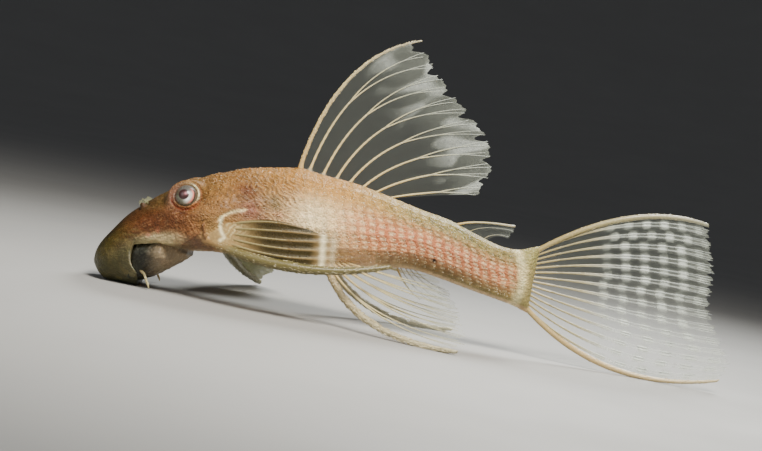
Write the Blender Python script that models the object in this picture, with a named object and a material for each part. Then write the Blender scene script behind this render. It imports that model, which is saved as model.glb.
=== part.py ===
"""A bristlenose pleco, life size and still, resting on lips, fins and tail.

+X runs from the snout to the tail, +Y to the fish's right and +Z up. The origin is
on the floor under the flat of the upper lip. Shapes are worked out in mm and made
in metres.
"""

import math

import bmesh
import bpy
import numpy as np
from mathutils import Matrix, Vector

MM = 0.001
GAP = 0.3
LEFT = -1
RIGHT = 1

# The body along X, snout to tail base: X, height of the back, height of the underside,
# half width, and the height of the widest level as a share of the depth.
SNOUT_X = -3.45
BODY_STATIONS = (
    (-3.45, 2.4, 2.4, 0.0, 0.50),
    (-3.15, 3.9, 1.45, 2.2, 0.40),
    (-2.6, 4.95, 1.45, 3.5, 0.34),
    (-1.7, 6.3, 2.3, 4.7, 0.30),
    (-0.2, 8.35, 3.7, 5.6, 0.28),
    (1.6, 10.05, 4.65, 6.4, 0.28),
    (3.6, 11.65, 5.2, 7.1, 0.29),
    (6.0, 13.4, 5.5, 7.9, 0.30),
    (8.4, 14.75, 5.6, 8.6, 0.32),
    (11.2, 15.9, 5.9, 9.1, 0.34),
    (13.5, 16.85, 6.0, 8.5, 0.36),
    (16.5, 17.6, 6.0, 8.0, 0.37),
    (19.4, 18.05, 6.05, 7.5, 0.38),
    (23.0, 17.7, 6.25, 7.0, 0.39),
    (27.0, 17.4, 6.75, 6.3, 0.41),
    (31.0, 16.7, 7.45, 5.5, 0.43),
    (35.6, 15.75, 8.2, 4.6, 0.46),
    (39.4, 15.1, 7.75, 3.8, 0.48),
    (43.4, 13.85, 7.05, 3.0, 0.50),
    (46.8, 13.05, 6.5, 2.3, 0.50),
    (48.8, 13.15, 6.15, 1.9, 0.50),
    (50.4, 13.8, 5.7, 1.5, 0.50),
)
# How square the cross-section is above and below its widest level (2 is an ellipse).
SECTION_STATIONS = (
    (-3.45, 2.2, 2.4),
    (2.0, 2.3, 2.8),
    (6.5, 2.35, 3.0),
    (11.0, 2.3, 2.9),
    (20.0, 2.0, 2.8),
    (35.0, 2.1, 2.3),
    (50.4, 2.3, 2.3),
)

# Where the head, the trunk and the tail are parted.
NECK_X = 9.8
HIP_X = 32.8
TAIL_END_X = 50.1

# The rows of bony plates on each flank, as angles round the section, and their pitch.
PLATE_ROWS = (-48, -20, 5, 32, 60, 90)
PLATE_PITCH = 1.72
PLATES_START_X = 13.2
PLATE_RISE = 0.24
ROW_RISE = 0.12
BELLY_ANGLES = (-90, -76, -62)

# The eye is a ball in a socket of the head, with a raised rim round it.
EYE_CENTRE = (7.05, 5.9, 12.1)
EYE_RADIUS = 1.5
EYE_LOOKS_UP = 25
EYE_LOOKS_BACK = -8
RIM_RADIUS = 1.67
RIM_THICKNESS = 0.32
RIM_OUT = 0.55

# Each nostril is a pit with a flap behind its front opening.
NOSTRIL_X = 1.75
NOSTRIL_ANGLE = 62
NOSTRIL_RADIUS = 0.45
FLAP_RADII = (0.3, 0.5, 1.05)

# The edge of the gill cover: X and the angle round the section.
GILL_LINE = ((8.2, -55), (8.7, -33), (9.0, -12), (9.25, 2), (9.55, 11))
GILL_GROOVE = 0.24

# The sucker mouth: X, height of its underside, half width. Its top follows the head.
LIP_STATIONS = (
    (-2.65, 0.85, 0.0),
    (-2.2, 0.4, 2.5),
    (-1.4, -0.12, 4.0),
    (-0.2, -0.15, 4.9),
    (1.0, -0.05, 5.25),
    (2.6, 0.55, 5.4),
    (4.4, 1.45, 5.6),
    (6.2, 2.8, 5.0),
    (7.6, 3.9, 3.9),
    (8.3, 4.55, 2.6),
    (8.6, 4.9, 0.0),
)
MOUTH_CENTRE = (3.9, 0.0, 1.3)
MOUTH_RADII = (1.5, 2.3, 0.9)
BARBEL = ((2.5, 4.9, 2.5), (3.15, 5.45, 1.9), (3.85, 5.8, 1.25), (4.5, 5.95, 0.4))
BARBEL_RADII = (0.36, 0.33, 0.29, 0.2)

# Half thicknesses of the fins: the web, a branched ray, and the stout first ray.
WEB_HALF = 0.25
RAY_HALF = 0.45
RAY_WIDTH = 0.3
SPINE_HALF = 0.6


def spline(stations):
    """A smooth curve through rows of (place, value, ...): a function of place."""
    rows = np.asarray(stations, float)
    place, values = rows[:, 0], rows[:, 1:]
    slopes = np.gradient(values, place, axis=0)

    def at(x):
        x = np.clip(np.atleast_1d(np.asarray(x, float)), place[0], place[-1])
        k = np.clip(np.searchsorted(place, x) - 1, 0, len(place) - 2)
        step = (place[k + 1] - place[k])[:, None]
        t = (x - place[k])[:, None] / step
        return (
            values[k] * (1 + 2 * t) * (1 - t) ** 2
            + slopes[k] * step * t * (1 - t) ** 2
            + values[k + 1] * t * t * (3 - 2 * t)
            + slopes[k + 1] * step * t * t * (t - 1)
        )

    return at


def nose_scale(x):
    """The root of the distance from the snout, in which a round nose is smooth."""
    return np.sqrt(np.maximum(np.asarray(x, float) - SNOUT_X, 0.0))


body_spline = spline([(float(nose_scale(row[0])), *row[1:]) for row in BODY_STATIONS])
section_spline = spline(SECTION_STATIONS)


def body_section(x, angles, lift=0.0):
    """Points of the body's outline at X, at angles in degrees: -90 under, 90 on top.
    Angles past 90 are on the fish's right. lift raises the skin."""
    back, under, half, belt = body_spline(nose_scale(x))[0]
    square_up, square_low = section_spline(x)[0]
    level = under + belt * (back - under)
    turn = np.radians(angles)
    across, rise = np.cos(turn), np.sin(turn)
    square = np.where(rise > 0, square_up, square_low)
    reach = (np.abs(across) ** square + np.abs(rise) ** square) ** (-1 / square)
    tall = np.where(rise > 0, back - level, level - under)
    y = -half * reach * across
    z = tall * reach * rise
    grow = 1 + lift / (np.hypot(y, z) + 1e-9)
    return np.stack([np.full_like(y, x), y * grow, level + z * grow], 1)


def skin_point(x, angle, side=LEFT):
    """A point of the skin on one side, and the direction straight out of it."""
    step = 1.0
    point, above = body_section(x, np.array([angle, angle + step]))
    behind = body_section(x + 0.1, np.array([angle]))[0]
    normal = np.cross(behind - point, above - point)
    normal /= np.linalg.norm(normal)
    if normal[1] > 0:
        normal = -normal
    mirror = np.array([1, -side, 1])
    return point * mirror, normal * mirror


def body_top(x):
    return float(body_spline(nose_scale(x))[0][0])


def body_under(x):
    return float(body_spline(nose_scale(x))[0][1])


def ring_angles(count):
    return np.linspace(-90, 270, count, endpoint=False)


def paint(obj, name, colour, roughness):
    material = bpy.data.materials.get(name) or bpy.data.materials.new(name)
    material.use_nodes = True
    shader = material.node_tree.nodes["Principled BSDF"]
    shader.inputs["Base Color"].default_value = (*colour, 1.0)
    shader.inputs["Roughness"].default_value = roughness
    shader.inputs["Metallic"].default_value = 0.0
    obj.data.materials.clear()
    obj.data.materials.append(material)


def paint_skin(obj):
    paint(obj, "albino skin", (0.74, 0.50, 0.34), 0.5)


def paint_lips(obj):
    paint(obj, "lip skin", (0.62, 0.57, 0.50), 0.45)


def paint_fin(obj):
    paint(obj, "fin", (0.80, 0.76, 0.58), 0.35)


def paint_eye(obj):
    paint(obj, "eye", (0.85, 0.72, 0.70), 0.12)


def link(name, mesh):
    obj = bpy.data.objects.new(name, mesh)
    bpy.context.scene.collection.objects.link(obj)
    return obj


def solid(name, points, faces):
    """A closed mesh object from points in mm, its faces turned outwards."""
    mesh = bpy.data.meshes.new(name)
    mesh.from_pydata([tuple(p) for p in np.asarray(points) * MM], [], faces)
    work = bmesh.new()
    work.from_mesh(mesh)
    bmesh.ops.recalc_face_normals(work, faces=work.faces)
    if work.calc_volume(signed=True) < 0:
        bmesh.ops.reverse_faces(work, faces=work.faces)
    work.to_mesh(mesh)
    work.free()
    return link(name, mesh)


def loft(name, rings):
    """A skin over rings of equal count, closed by a fan at each end's middle."""
    count = len(rings[0])
    points = np.concatenate([*rings, [rings[0].mean(0)], [rings[-1].mean(0)]])
    first, last = len(points) - 2, len(points) - 1
    faces = []
    for r in range(len(rings) - 1):
        for k in range(count):
            a, b = r * count + k, r * count + (k + 1) % count
            faces.append((a, b, b + count))
            faces.append((a, b + count, a + count))
    end = (len(rings) - 1) * count
    for k in range(count):
        faces.append((first, (k + 1) % count, k))
        faces.append((last, end + k, end + (k + 1) % count))
    return solid(name, points, faces)


def ball(name, centre, radii, segments=16, rings=10, turn=None):
    """An ellipsoid, turned by a matrix about its own centre if one is given."""
    work = bmesh.new()
    bmesh.ops.create_uvsphere(work, u_segments=segments, v_segments=rings, radius=1.0)
    for vertex in work.verts:
        place = Vector([vertex.co[i] * radii[i] for i in range(3)])
        vertex.co = ((turn @ place if turn else place) + Vector(centre)) * MM
    mesh = bpy.data.meshes.new(name)
    work.to_mesh(mesh)
    work.free()
    return link(name, mesh)


def tube(name, centres, radii, sides=8):
    """A round tapered tube along points."""
    centres = np.asarray(centres, float)
    turn = np.linspace(0, 2 * math.pi, sides, endpoint=False)
    rings = []
    for k, centre in enumerate(centres):
        before, after = centres[max(k - 1, 0)], centres[min(k + 1, len(centres) - 1)]
        along = Vector(after - before).normalized()
        side = along.cross(Vector((0.13, 0, 1))).normalized()
        up = np.array(side.cross(along))
        round_it = np.outer(np.cos(turn), np.array(side)) + np.outer(np.sin(turn), up)
        rings.append(centre + radii[k] * round_it)
    return loft(name, rings)


def torus(name, centre, axis, major, minor, segments=22, sides=6):
    """A ring round an axis."""
    along = Vector(axis).normalized()
    side = along.cross(Vector((0, 0, 1))).normalized()
    up = side.cross(along)
    frame = np.array([side, up, along])
    points, faces = [], []
    for k in range(segments):
        a = 2 * math.pi * k / segments
        for j in range(sides):
            b = 2 * math.pi * (j + 0.5) / sides
            reach = major + minor * math.cos(b)
            local = (reach * math.cos(a), reach * math.sin(a), minor * math.sin(b))
            points.append(np.array(centre) + np.array(local) @ frame)
            here, turn = k * sides, (k + 1) % segments * sides
            other = (j + 1) % sides
            faces.append((here + j, turn + j, turn + other))
            faces.append((here + j, turn + other, here + other))
    return solid(name, points, faces)


def combine(target, pieces, operation):
    """One Boolean between the target and closed meshes, applied, pieces removed."""
    group = bpy.data.collections.new(target.name + "_pieces")
    bpy.context.scene.collection.children.link(group)
    for piece in pieces:
        bpy.context.scene.collection.objects.unlink(piece)
        group.objects.link(piece)
    step = target.modifiers.new(operation.lower(), "BOOLEAN")
    step.operation = operation
    step.operand_type = "COLLECTION"
    step.collection = group
    step.solver = "EXACT"
    graph = bpy.context.evaluated_depsgraph_get()
    done = bpy.data.meshes.new_from_object(target.evaluated_get(graph))
    target.modifiers.clear()
    target.data = done
    for piece in list(group.objects):
        bpy.data.objects.remove(piece)
    bpy.data.collections.remove(group)
    keep_largest(target)


def keep_largest(obj):
    """Keeps the one closed surface with the most faces."""
    work = bmesh.new()
    work.from_mesh(obj.data)
    bmesh.ops.triangulate(work, faces=work.faces)
    left, islands = set(work.faces), []
    while left:
        front = [left.pop()]
        island = set(front)
        while front:
            for edge in front.pop().edges:
                for other in edge.link_faces:
                    if other in left:
                        left.discard(other)
                        island.add(other)
                        front.append(other)
        islands.append(island)
    islands.sort(key=len)
    for island in islands[:-1]:
        bmesh.ops.delete(work, geom=list(island), context="FACES")
    work.to_mesh(obj.data)
    work.free()


def build_head():
    nose = SNOUT_X + 1.2 * (1 - np.cos(np.linspace(0.22, 1, 6) * math.pi / 2))
    xs = np.concatenate([nose, np.linspace(-1.7, NECK_X - GAP / 2, 15)])
    head = loft("head", [body_section(x, ring_angles(34)) for x in xs])
    paint_skin(head)
    added, cut = [], []
    for side in (LEFT, RIGHT):
        x, y, z = EYE_CENTRE
        centre = np.array((x, side * y, z))
        up, back = math.radians(EYE_LOOKS_UP), math.radians(EYE_LOOKS_BACK)
        outward = np.array(
            (math.cos(up) * math.sin(back), side * math.cos(up) * math.cos(back), math.sin(up))
        )
        added.append(
            torus("rim", centre + RIM_OUT * outward, outward, RIM_RADIUS, RIM_THICKNESS)
        )
        cut.append(ball("socket", centre, [EYE_RADIUS + GAP] * 3))
        place, normal = skin_point(NOSTRIL_X, NOSTRIL_ANGLE, side)
        turn = Vector((0, 0, 1)).rotation_difference(Vector(normal)).to_matrix()
        behind = place + np.array((0.5, 0, 0.55))
        added.append(ball("flap", behind, FLAP_RADII, 10, 6, turn))
        cut.append(ball("nostril", place, [NOSTRIL_RADIUS] * 3, 10, 6))
        line = [skin_point(x, angle, side)[0] for x, angle in GILL_LINE]
        cut.append(tube("gill", line, [GILL_GROOVE] * len(line), 6))
    combine(head, added, "UNION")
    combine(head, cut, "DIFFERENCE")


def build_eyes():
    for side, name in ((LEFT, "eye_left"), (RIGHT, "eye_right")):
        x, y, z = EYE_CENTRE
        paint_eye(ball(name, (x, side * y, z), [EYE_RADIUS] * 3, 16, 8))


def build_lips():
    lip_line = spline(LIP_STATIONS)
    front, back = LIP_STATIONS[0][0], LIP_STATIONS[-1][0]
    turn = (1 - np.cos(np.linspace(0.1, 0.93, 15) * math.pi)) / 2
    rings = []
    for x in front + (back - front) * turn:
        under, half = lip_line(x)[0]
        top = body_under(x) - GAP
        level, tall = (top + under) / 2, max((top - under) / 2, 0.12)
        angle = np.radians(ring_angles(24))
        reach = (np.abs(np.cos(angle)) ** 3 + np.abs(np.sin(angle)) ** 3) ** (-1 / 3)
        y, z = half * reach * np.cos(angle), level + tall * reach * np.sin(angle)
        rings.append(np.stack([np.full_like(y, x), -y, np.maximum(z, 0.0)], 1))
    lips = loft("lips", rings)
    cut = [ball("mouth", MOUTH_CENTRE, MOUTH_RADII)]
    for side in (LEFT, RIGHT):
        centres = np.array([(x, side * y, z) for x, y, z in BARBEL])
        centres[0] += 0.4 * (centres[0] - centres[1])
        cut.append(tube("root", centres, [r + GAP for r in BARBEL_RADII]))
    combine(lips, cut, "DIFFERENCE")
    paint_lips(lips)


def build_barbels():
    for side, name in ((LEFT, "barbel_left"), (RIGHT, "barbel_right")):
        centres = [(x, side * y, z) for x, y, z in BARBEL]
        paint_lips(tube(name, centres, BARBEL_RADII))


def plated_rings(start, end):
    """Rings of the skin with bony plates: each plate rises to its rear edge, and a
    groove parts the rows. Each column of plates has a low and a high ring."""
    rows = np.array(PLATE_ROWS, float)
    middles = (rows[:-1] + rows[1:]) / 2
    flank = np.sort(np.concatenate([rows[:-1], middles]))
    left = np.concatenate([BELLY_ANGLES, flank, [90]])
    angles = np.concatenate([left, 180 - left[-2:0:-1]])
    folded = np.where(angles > 90, 180 - angles, angles)
    ridge = np.isin(folded, middles)
    plated = (folded > PLATE_ROWS[0] - 1) & (folded < 89)
    xs = [start]
    first = PLATES_START_X + PLATE_PITCH * math.ceil((start - PLATES_START_X) / PLATE_PITCH)
    for edge in np.arange(max(first, PLATES_START_X), end, PLATE_PITCH):
        xs += [edge - 0.1, edge + 0.1]
    xs = [x for x in xs if start <= x < end - 0.2] + [end]
    if start < PLATES_START_X - PLATE_PITCH:
        gap = np.linspace(start, xs[1], 4)[1:-1]
        xs = sorted(xs + list(gap))
    rings = []
    for x in xs:
        phase = (x - PLATES_START_X) / PLATE_PITCH % 1.0
        lift = np.zeros(len(angles))
        if x > PLATES_START_X - PLATE_PITCH:
            lift = np.where(plated, PLATE_RISE * phase, 0.0) * np.where(ridge, 1.0, 0.55)
            lift += np.where(ridge, ROW_RISE, 0.0)
        rings.append(body_section(x, angles, lift))
    return rings


def build_trunk(slots):
    trunk = loft("trunk", plated_rings(NECK_X + GAP / 2, HIP_X - GAP / 2))
    paint_skin(trunk)
    combine(trunk, slots, "DIFFERENCE")


def build_tail():
    tail = loft("tail", plated_rings(HIP_X + GAP / 2, TAIL_END_X))
    paint_skin(tail)


class Fan:
    """A fan of curved rays: where they start, bend and end, each a smooth line."""

    def __init__(self, roots, bends, tips):
        self.lines = [
            spline([(k / (len(line) - 1), *point) for k, point in enumerate(line)])
            for line in (roots, bends, tips)
        ]

    def place(self, share, along):
        """Points at shares across the fan and shares along the rays."""
        share = np.asarray(share, float)
        root, bend, tip = (line(share.ravel()) for line in self.lines)
        t = np.asarray(along, float).ravel()[:, None]
        flat = root * (1 - t) ** 2 + 2 * bend * t * (1 - t) + tip * t * t
        return flat.reshape(*share.shape, 3)

    def across(self, share, along):
        """How the place moves with the share across the fan."""
        ahead = np.minimum(share + 1e-3, 1)
        behind = np.maximum(share - 1e-3, 0)
        move = self.place(ahead, along) - self.place(behind, along)
        return move / (ahead - behind)[..., None]

    def outward(self, share, along):
        """The unit normal of the fan's surface."""
        lengthways = self.place(share, along + 1e-3) - self.place(share, along - 1e-3)
        normal = np.cross(self.across(share, along), lengthways)
        return normal / np.linalg.norm(normal, axis=-1, keepdims=True)


def sheet(name, middle, normal, half):
    """A closed sheet: both faces of a grid of middle points, split alike."""
    rows, columns = middle.shape[:2]
    offset = normal * half[..., None]
    points = np.concatenate([(middle + offset).reshape(-1, 3), (middle - offset).reshape(-1, 3)])
    points[:, 2] = np.maximum(points[:, 2], 0.0)
    other = rows * columns
    faces = []
    for r in range(rows - 1):
        for c in range(columns - 1):
            a = r * columns + c
            b, d = a + 1, a + columns
            e = d + 1
            faces += [(a, b, e), (a, e, d)]
            faces += [(other + a, other + e, other + b), (other + a, other + d, other + e)]
    rim = list(range(columns))
    rim += [r * columns + columns - 1 for r in range(1, rows)]
    rim += [(rows - 1) * columns + c for c in range(columns - 2, -1, -1)]
    rim += [r * columns for r in range(rows - 2, 0, -1)]
    for k, a in enumerate(rim):
        b = rim[(k + 1) % len(rim)]
        faces += [(a, other + a, other + b), (a, other + b, b)]
    return solid(name, points, faces)


def ray_fin(name, fan, rays, rows, splits, spine_width, spines=1):
    """A fin with a stout spine at its front edge, and at its rear edge too if spines
    is 2, then branched rays as ridges of the web. splits gives where along them the
    first and the last ray branch."""
    along = np.linspace(0, 1, rows)
    shares = np.zeros((rows, 0))
    heights = np.zeros((rows, 0))
    reach = np.zeros(0)

    def add(share, height, out):
        nonlocal shares, heights, reach
        shares = np.column_stack([shares, share])
        heights = np.column_stack([heights, height])
        reach = np.append(reach, out)

    def width_of(mm, centre, most):
        """A width in mm as a share across the fan, for each row."""
        spread = np.linalg.norm(fan.across(np.full(rows, centre), along), axis=-1)
        return np.minimum(mm / spread, most)

    ones = np.ones(rows)
    pitch = 1 / (rays + spines)
    spine = width_of(spine_width, pitch / 2, 0.6 * pitch)
    stout = SPINE_HALF - (SPINE_HALF - RAY_HALF) * along
    low = WEB_HALF - 0.05 * along
    add(0 * ones, 0.6 * stout, 1.0)
    add(0.5 * spine, stout, 1.0)
    add(spine, low, 0.99)
    for k in range(rays):
        centre = (k + 1) * pitch if spines == 2 else (k + 1) * (1 - 0.55 * pitch) / rays
        split = splits[0] + (splits[1] - splits[0]) * k / max(rays - 1, 1)
        wide = width_of(RAY_WIDTH, centre, 0.16 * pitch)
        parted = np.clip((along - split) / (1 - split), 0, 1)
        apart = 0.4 * wide + 0.26 * pitch * parted
        high = RAY_HALF - 0.12 * along
        dip = np.where(apart > 1.2 * wide, low, high)
        add(centre - apart - wide, low, 0.975)
        add(centre - apart, high, 1.0)
        add(centre * ones, dip, 0.99)
        add(centre + apart, high, 1.0)
        add(centre + apart + wide, low, 0.975)
    if spines == 1:
        add(ones, low, 0.97)
    else:
        spine = width_of(spine_width, 1 - pitch / 2, 0.6 * pitch)
        add(1 - spine, low, 0.99)
        add(1 - 0.5 * spine, stout, 1.0)
        add(ones, 0.6 * stout, 1.0)
    t = along[:, None] * reach[None, :]
    return sheet(name, fan.place(shares, t), fan.outward(shares, t), heights)


def on_back(xs):
    return [(x, 0.0, body_top(x) + GAP) for x in xs]


def under_belly(xs):
    return [(x, 0.0, body_under(x) - GAP) for x in xs]


def dorsal_fan():
    return Fan(
        roots=on_back((19.4, 22.5, 25.5, 28.5, 31.4)),
        bends=((21.5, 0, 33.1), (25.4, 0, 29.4), (29.2, 0, 25.6), (33.0, 0, 21.8), (36.6, 0, 17.9)),
        tips=(
            (31.7, 0, 36.5),
            (34.5, 0, 32.9),
            (38.2, 0.2, 29.6),
            (41.8, 0.3, 26.4),
            (43.4, 0.3, 22.8),
            (42.3, 0.2, 18.9),
        ),
    )


def adipose_fan():
    return Fan(
        roots=on_back((39.8, 42.0, 44.2)),
        bends=((41.8, 0, 16.3), (43.6, 0, 15.6), (45.2, 0, 14.6)),
        tips=((47.5, 0, 16.0), (47.5, 0, 15.2), (46.9, 0, 14.2)),
    )


def anal_fan():
    return Fan(
        roots=under_belly((33.6, 34.8, 35.9)),
        bends=((35.0, 0, 5.9), (36.6, 0, 6.2), (38.0, 0, 6.9)),
        tips=((37.5, 0, 4.6), (39.8, 0, 4.7), (41.3, 0, 5.4), (41.0, 0, 6.4)),
    )


def caudal_fan():
    start = TAIL_END_X + GAP
    return Fan(
        roots=((start, 0, 13.5), (start, 0, 9.75), (start, 0, 6.0)),
        bends=((61.2, 0, 22.4), (61.5, 0.3, 10.3), (61.8, 0, -3.0)),
        tips=(
            (71.3, 1.6, 20.7),
            (72.6, 1.2, 17.3),
            (73.4, 0.8, 13.6),
            (73.6, 0.5, 10.2),
            (75.8, 0.3, 6.4),
            (77.4, 0.1, 3.8),
            (76.0, 0, 1.4),
        ),
    )


def pectoral_fan(side):
    """The left fin is folded back along the flank, the right one braced outwards."""
    if side == LEFT:
        return Fan(
            roots=((10.5, -8.3, 7.4), (11.4, -8.3, 8.6), (12.3, -8.1, 9.7)),
            bends=((21.1, -12.2, 3.8), (19.6, -10.9, 7.8), (17.4, -9.9, 11.3)),
            tips=(
                (33.4, -9.3, 8.5),
                (31.5, -9.1, 9.4),
                (29.0, -9.0, 10.2),
                (25.8, -9.0, 10.8),
                (22.4, -8.9, 11.1),
            ),
        )
    return Fan(
        roots=((10.5, 8.3, 7.4), (11.4, 8.3, 8.6), (12.3, 8.1, 9.7)),
        bends=((10.6, 17.0, 3.1), (13.8, 16.2, 5.8), (16.6, 12.8, 9.0)),
        tips=(
            (15.8, 28.0, 0.3),
            (17.3, 26.8, 2.0),
            (18.9, 23.6, 4.0),
            (20.4, 19.4, 6.1),
            (21.2, 15.2, 8.1),
        ),
    )


def pelvic_fan(side):
    return Fan(
        roots=((24.6, side * 4.9, 7.5), (26.2, side * 4.7, 7.6), (27.6, side * 4.4, 7.8)),
        bends=((29.3, side * 9.9, -1.1), (31.8, side * 8.6, 3.8), (33.2, side * 6.6, 6.8)),
        tips=(
            (42.4, side * 13.6, 0.3),
            (43.4, side * 12.9, 1.0),
            (43.5, side * 11.7, 2.2),
            (42.5, side * 10.2, 3.6),
            (41.0, side * 8.6, 4.9),
            (39.3, side * 7.2, 5.9),
        ),
    )


def root_slot(fan):
    """A cutter round the root of a paired fin, wider than it by the gap all round."""
    share, along = np.meshgrid(np.linspace(0, 1, 7), np.linspace(-0.06, 0.4, 6))
    middle, normal = fan.place(share, along), fan.outward(share, along)
    edge = fan.across(share, along)
    edge /= np.linalg.norm(edge, axis=-1, keepdims=True)
    middle[:, 0] -= edge[:, 0] * 0.4
    middle[:, -1] += edge[:, -1] * 0.4
    return sheet("slot", middle, normal, np.full(share.shape, SPINE_HALF + GAP))


def main():
    for obj in list(bpy.data.objects):
        bpy.data.objects.remove(obj)
    build_head()
    build_eyes()
    build_lips()
    build_barbels()
    paired = []
    for side, name in ((LEFT, "left"), (RIGHT, "right")):
        pectoral, pelvic = pectoral_fan(side), pelvic_fan(side)
        paired += [pectoral, pelvic]
        paint_fin(ray_fin("pectoral_fin_" + name, pectoral, 6, 8, (0.5, 0.6), 1.1))
        paint_fin(ray_fin("pelvic_fin_" + name, pelvic, 5, 8, (0.3, 0.4), 1.1))
    build_trunk([root_slot(fan) for fan in paired])
    build_tail()
    paint_fin(ray_fin("dorsal_fin", dorsal_fan(), 7, 9, (0.42, 0.6), 0.7))
    paint_fin(ray_fin("adipose_fin", adipose_fan(), 1, 5, (0.9, 0.9), 0.5))
    paint_fin(ray_fin("anal_fin", anal_fan(), 4, 5, (0.5, 0.6), 0.5))
    paint_fin(ray_fin("caudal_fin", caudal_fan(), 13, 9, (0.35, 0.35), 0.8, spines=2))
    for obj in bpy.data.objects:
        obj.data.shade_smooth()
        obj.data.set_sharp_from_angle(angle=math.radians(35))


main()
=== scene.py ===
"""The looks of the bristlenose pleco: an albino, life size, resting on lips and fins.

+X runs from the snout to the tail, +Y to the fish's right and +Z up. Shapes are worked
out in mm, on the solids' body line and nearly their fans of rays, and made in metres.
Colours are screen values from 0 to 255, turned to linear light by tone().
"""

import math

import bpy
import numpy as np
from mathutils import Matrix, Vector


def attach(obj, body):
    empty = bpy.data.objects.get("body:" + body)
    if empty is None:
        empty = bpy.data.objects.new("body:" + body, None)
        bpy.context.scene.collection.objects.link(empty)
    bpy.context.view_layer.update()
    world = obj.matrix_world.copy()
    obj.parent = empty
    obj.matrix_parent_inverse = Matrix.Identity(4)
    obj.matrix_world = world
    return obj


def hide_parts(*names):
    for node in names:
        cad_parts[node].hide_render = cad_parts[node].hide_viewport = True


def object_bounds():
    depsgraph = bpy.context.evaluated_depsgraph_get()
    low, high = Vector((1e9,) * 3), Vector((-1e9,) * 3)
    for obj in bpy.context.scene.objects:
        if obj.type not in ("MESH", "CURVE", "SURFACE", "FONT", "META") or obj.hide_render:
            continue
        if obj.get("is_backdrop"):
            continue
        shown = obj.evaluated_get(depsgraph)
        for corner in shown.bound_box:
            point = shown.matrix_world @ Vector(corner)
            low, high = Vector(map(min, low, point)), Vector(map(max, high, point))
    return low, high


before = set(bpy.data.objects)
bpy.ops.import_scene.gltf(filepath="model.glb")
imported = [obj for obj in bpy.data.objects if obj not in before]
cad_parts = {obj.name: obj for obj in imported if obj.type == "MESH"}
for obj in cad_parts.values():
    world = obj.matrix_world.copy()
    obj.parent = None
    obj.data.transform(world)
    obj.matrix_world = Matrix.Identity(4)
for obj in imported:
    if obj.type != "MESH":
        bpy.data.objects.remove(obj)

MM = 0.001
# How far the median fins' roots lie in the body.
SUNK = 0.35
LEFT = -1
RIGHT = 1

# The body along X, snout to tail base: X, height of the back, height of the underside,
# half width, and the height of the widest level as a share of the depth. The rows past
# 50.4 close the skin over the roots of the tail rays.
SNOUT_X = -3.45
SKIN_END_X = 51.0
BODY_STATIONS = (
    (-3.45, 2.4, 2.4, 0.0, 0.50),
    (-3.15, 3.9, 1.45, 2.2, 0.40),
    (-2.6, 4.95, 1.45, 3.5, 0.34),
    (-1.7, 6.3, 2.3, 4.7, 0.30),
    (-0.2, 8.35, 3.7, 5.6, 0.28),
    (1.6, 10.05, 4.65, 6.4, 0.28),
    (3.6, 11.65, 5.2, 7.1, 0.29),
    (6.0, 13.4, 5.5, 7.9, 0.30),
    (8.4, 14.75, 5.6, 8.6, 0.32),
    (11.2, 15.9, 5.9, 9.1, 0.34),
    (13.5, 16.85, 6.0, 8.5, 0.36),
    (16.5, 17.6, 6.0, 8.0, 0.37),
    (19.4, 18.05, 6.05, 7.5, 0.38),
    (23.0, 17.7, 6.25, 7.0, 0.39),
    (27.0, 17.4, 6.75, 6.3, 0.41),
    (31.0, 16.7, 7.45, 5.5, 0.43),
    (35.6, 15.75, 8.2, 4.6, 0.46),
    (39.4, 15.1, 7.75, 3.8, 0.48),
    (43.4, 13.85, 7.05, 3.0, 0.50),
    (46.8, 13.05, 6.5, 2.3, 0.50),
    (48.8, 13.15, 6.15, 1.9, 0.50),
    (50.4, 13.8, 5.7, 1.5, 0.50),
    (50.7, 13.9, 5.6, 1.1, 0.50),
    (51.0, 14.0, 5.5, 0.45, 0.50),
)
# How square the cross-section is above and below its widest level (2 is an ellipse).
SECTION_STATIONS = (
    (-3.45, 2.2, 2.4),
    (2.0, 2.3, 2.8),
    (6.5, 2.35, 3.0),
    (11.0, 2.3, 2.9),
    (20.0, 2.0, 2.8),
    (35.0, 2.1, 2.3),
    (50.4, 2.3, 2.3),
)

# The rows of bony plates on each flank, as angles round the section. The columns lean
# back towards the belly.
PLATE_ROWS = (-48, -20, 5, 32, 60, 90)
PLATE_PITCH = 1.18
COLUMN_LEAN = 0.32
PLATES_START_X = 13.2
PLATES_END_X = 49.4
PLATE_RISE = 0.15

EYE_CENTRE = (7.05, 5.9, 12.1)
EYE_RADIUS = 1.5
CORNEA_RISE = 0.045
EYE_LOOKS_UP = 25
EYE_LOOKS_BACK = -8
RIM_RADIUS = 1.6
RIM_OUT = 0.55
EYE_RINGS = 96
GAZE_UP = 16
GAZE_BACK = -12

NOSTRIL_X = 1.75
NOSTRIL_ANGLE = 62

# Lines on the side of the body, as X and Z.
GILL_LINE = ((6.2, 5.8), (7.4, 6.05), (8.6, 7.2), (9.6, 8.4), (9.9, 9.6))
GILL_OPENING = ((9.9, 9.4), (10.2, 8.3), (10.8, 7.2), (11.6, 6.4))
SHOULDER_LINE = ((11.7, 10.4), (12.2, 11.0), (13.0, 11.55), (14.5, 12.1))
SHOULDER_BRANCH = ((11.95, 10.6), (11.98, 9.7), (12.26, 8.9), (12.75, 8.3), (12.35, 7.85))
# The patch of fine slanting lines on the shoulder, and the streaks on the cheek: the
# way across the lines in X and Z, and their spacing.
SHOULDER_LINES = (0.6, 1.0, 0.47)
CHEEK_LINES = (-0.55, 0.83, 0.44)

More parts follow.
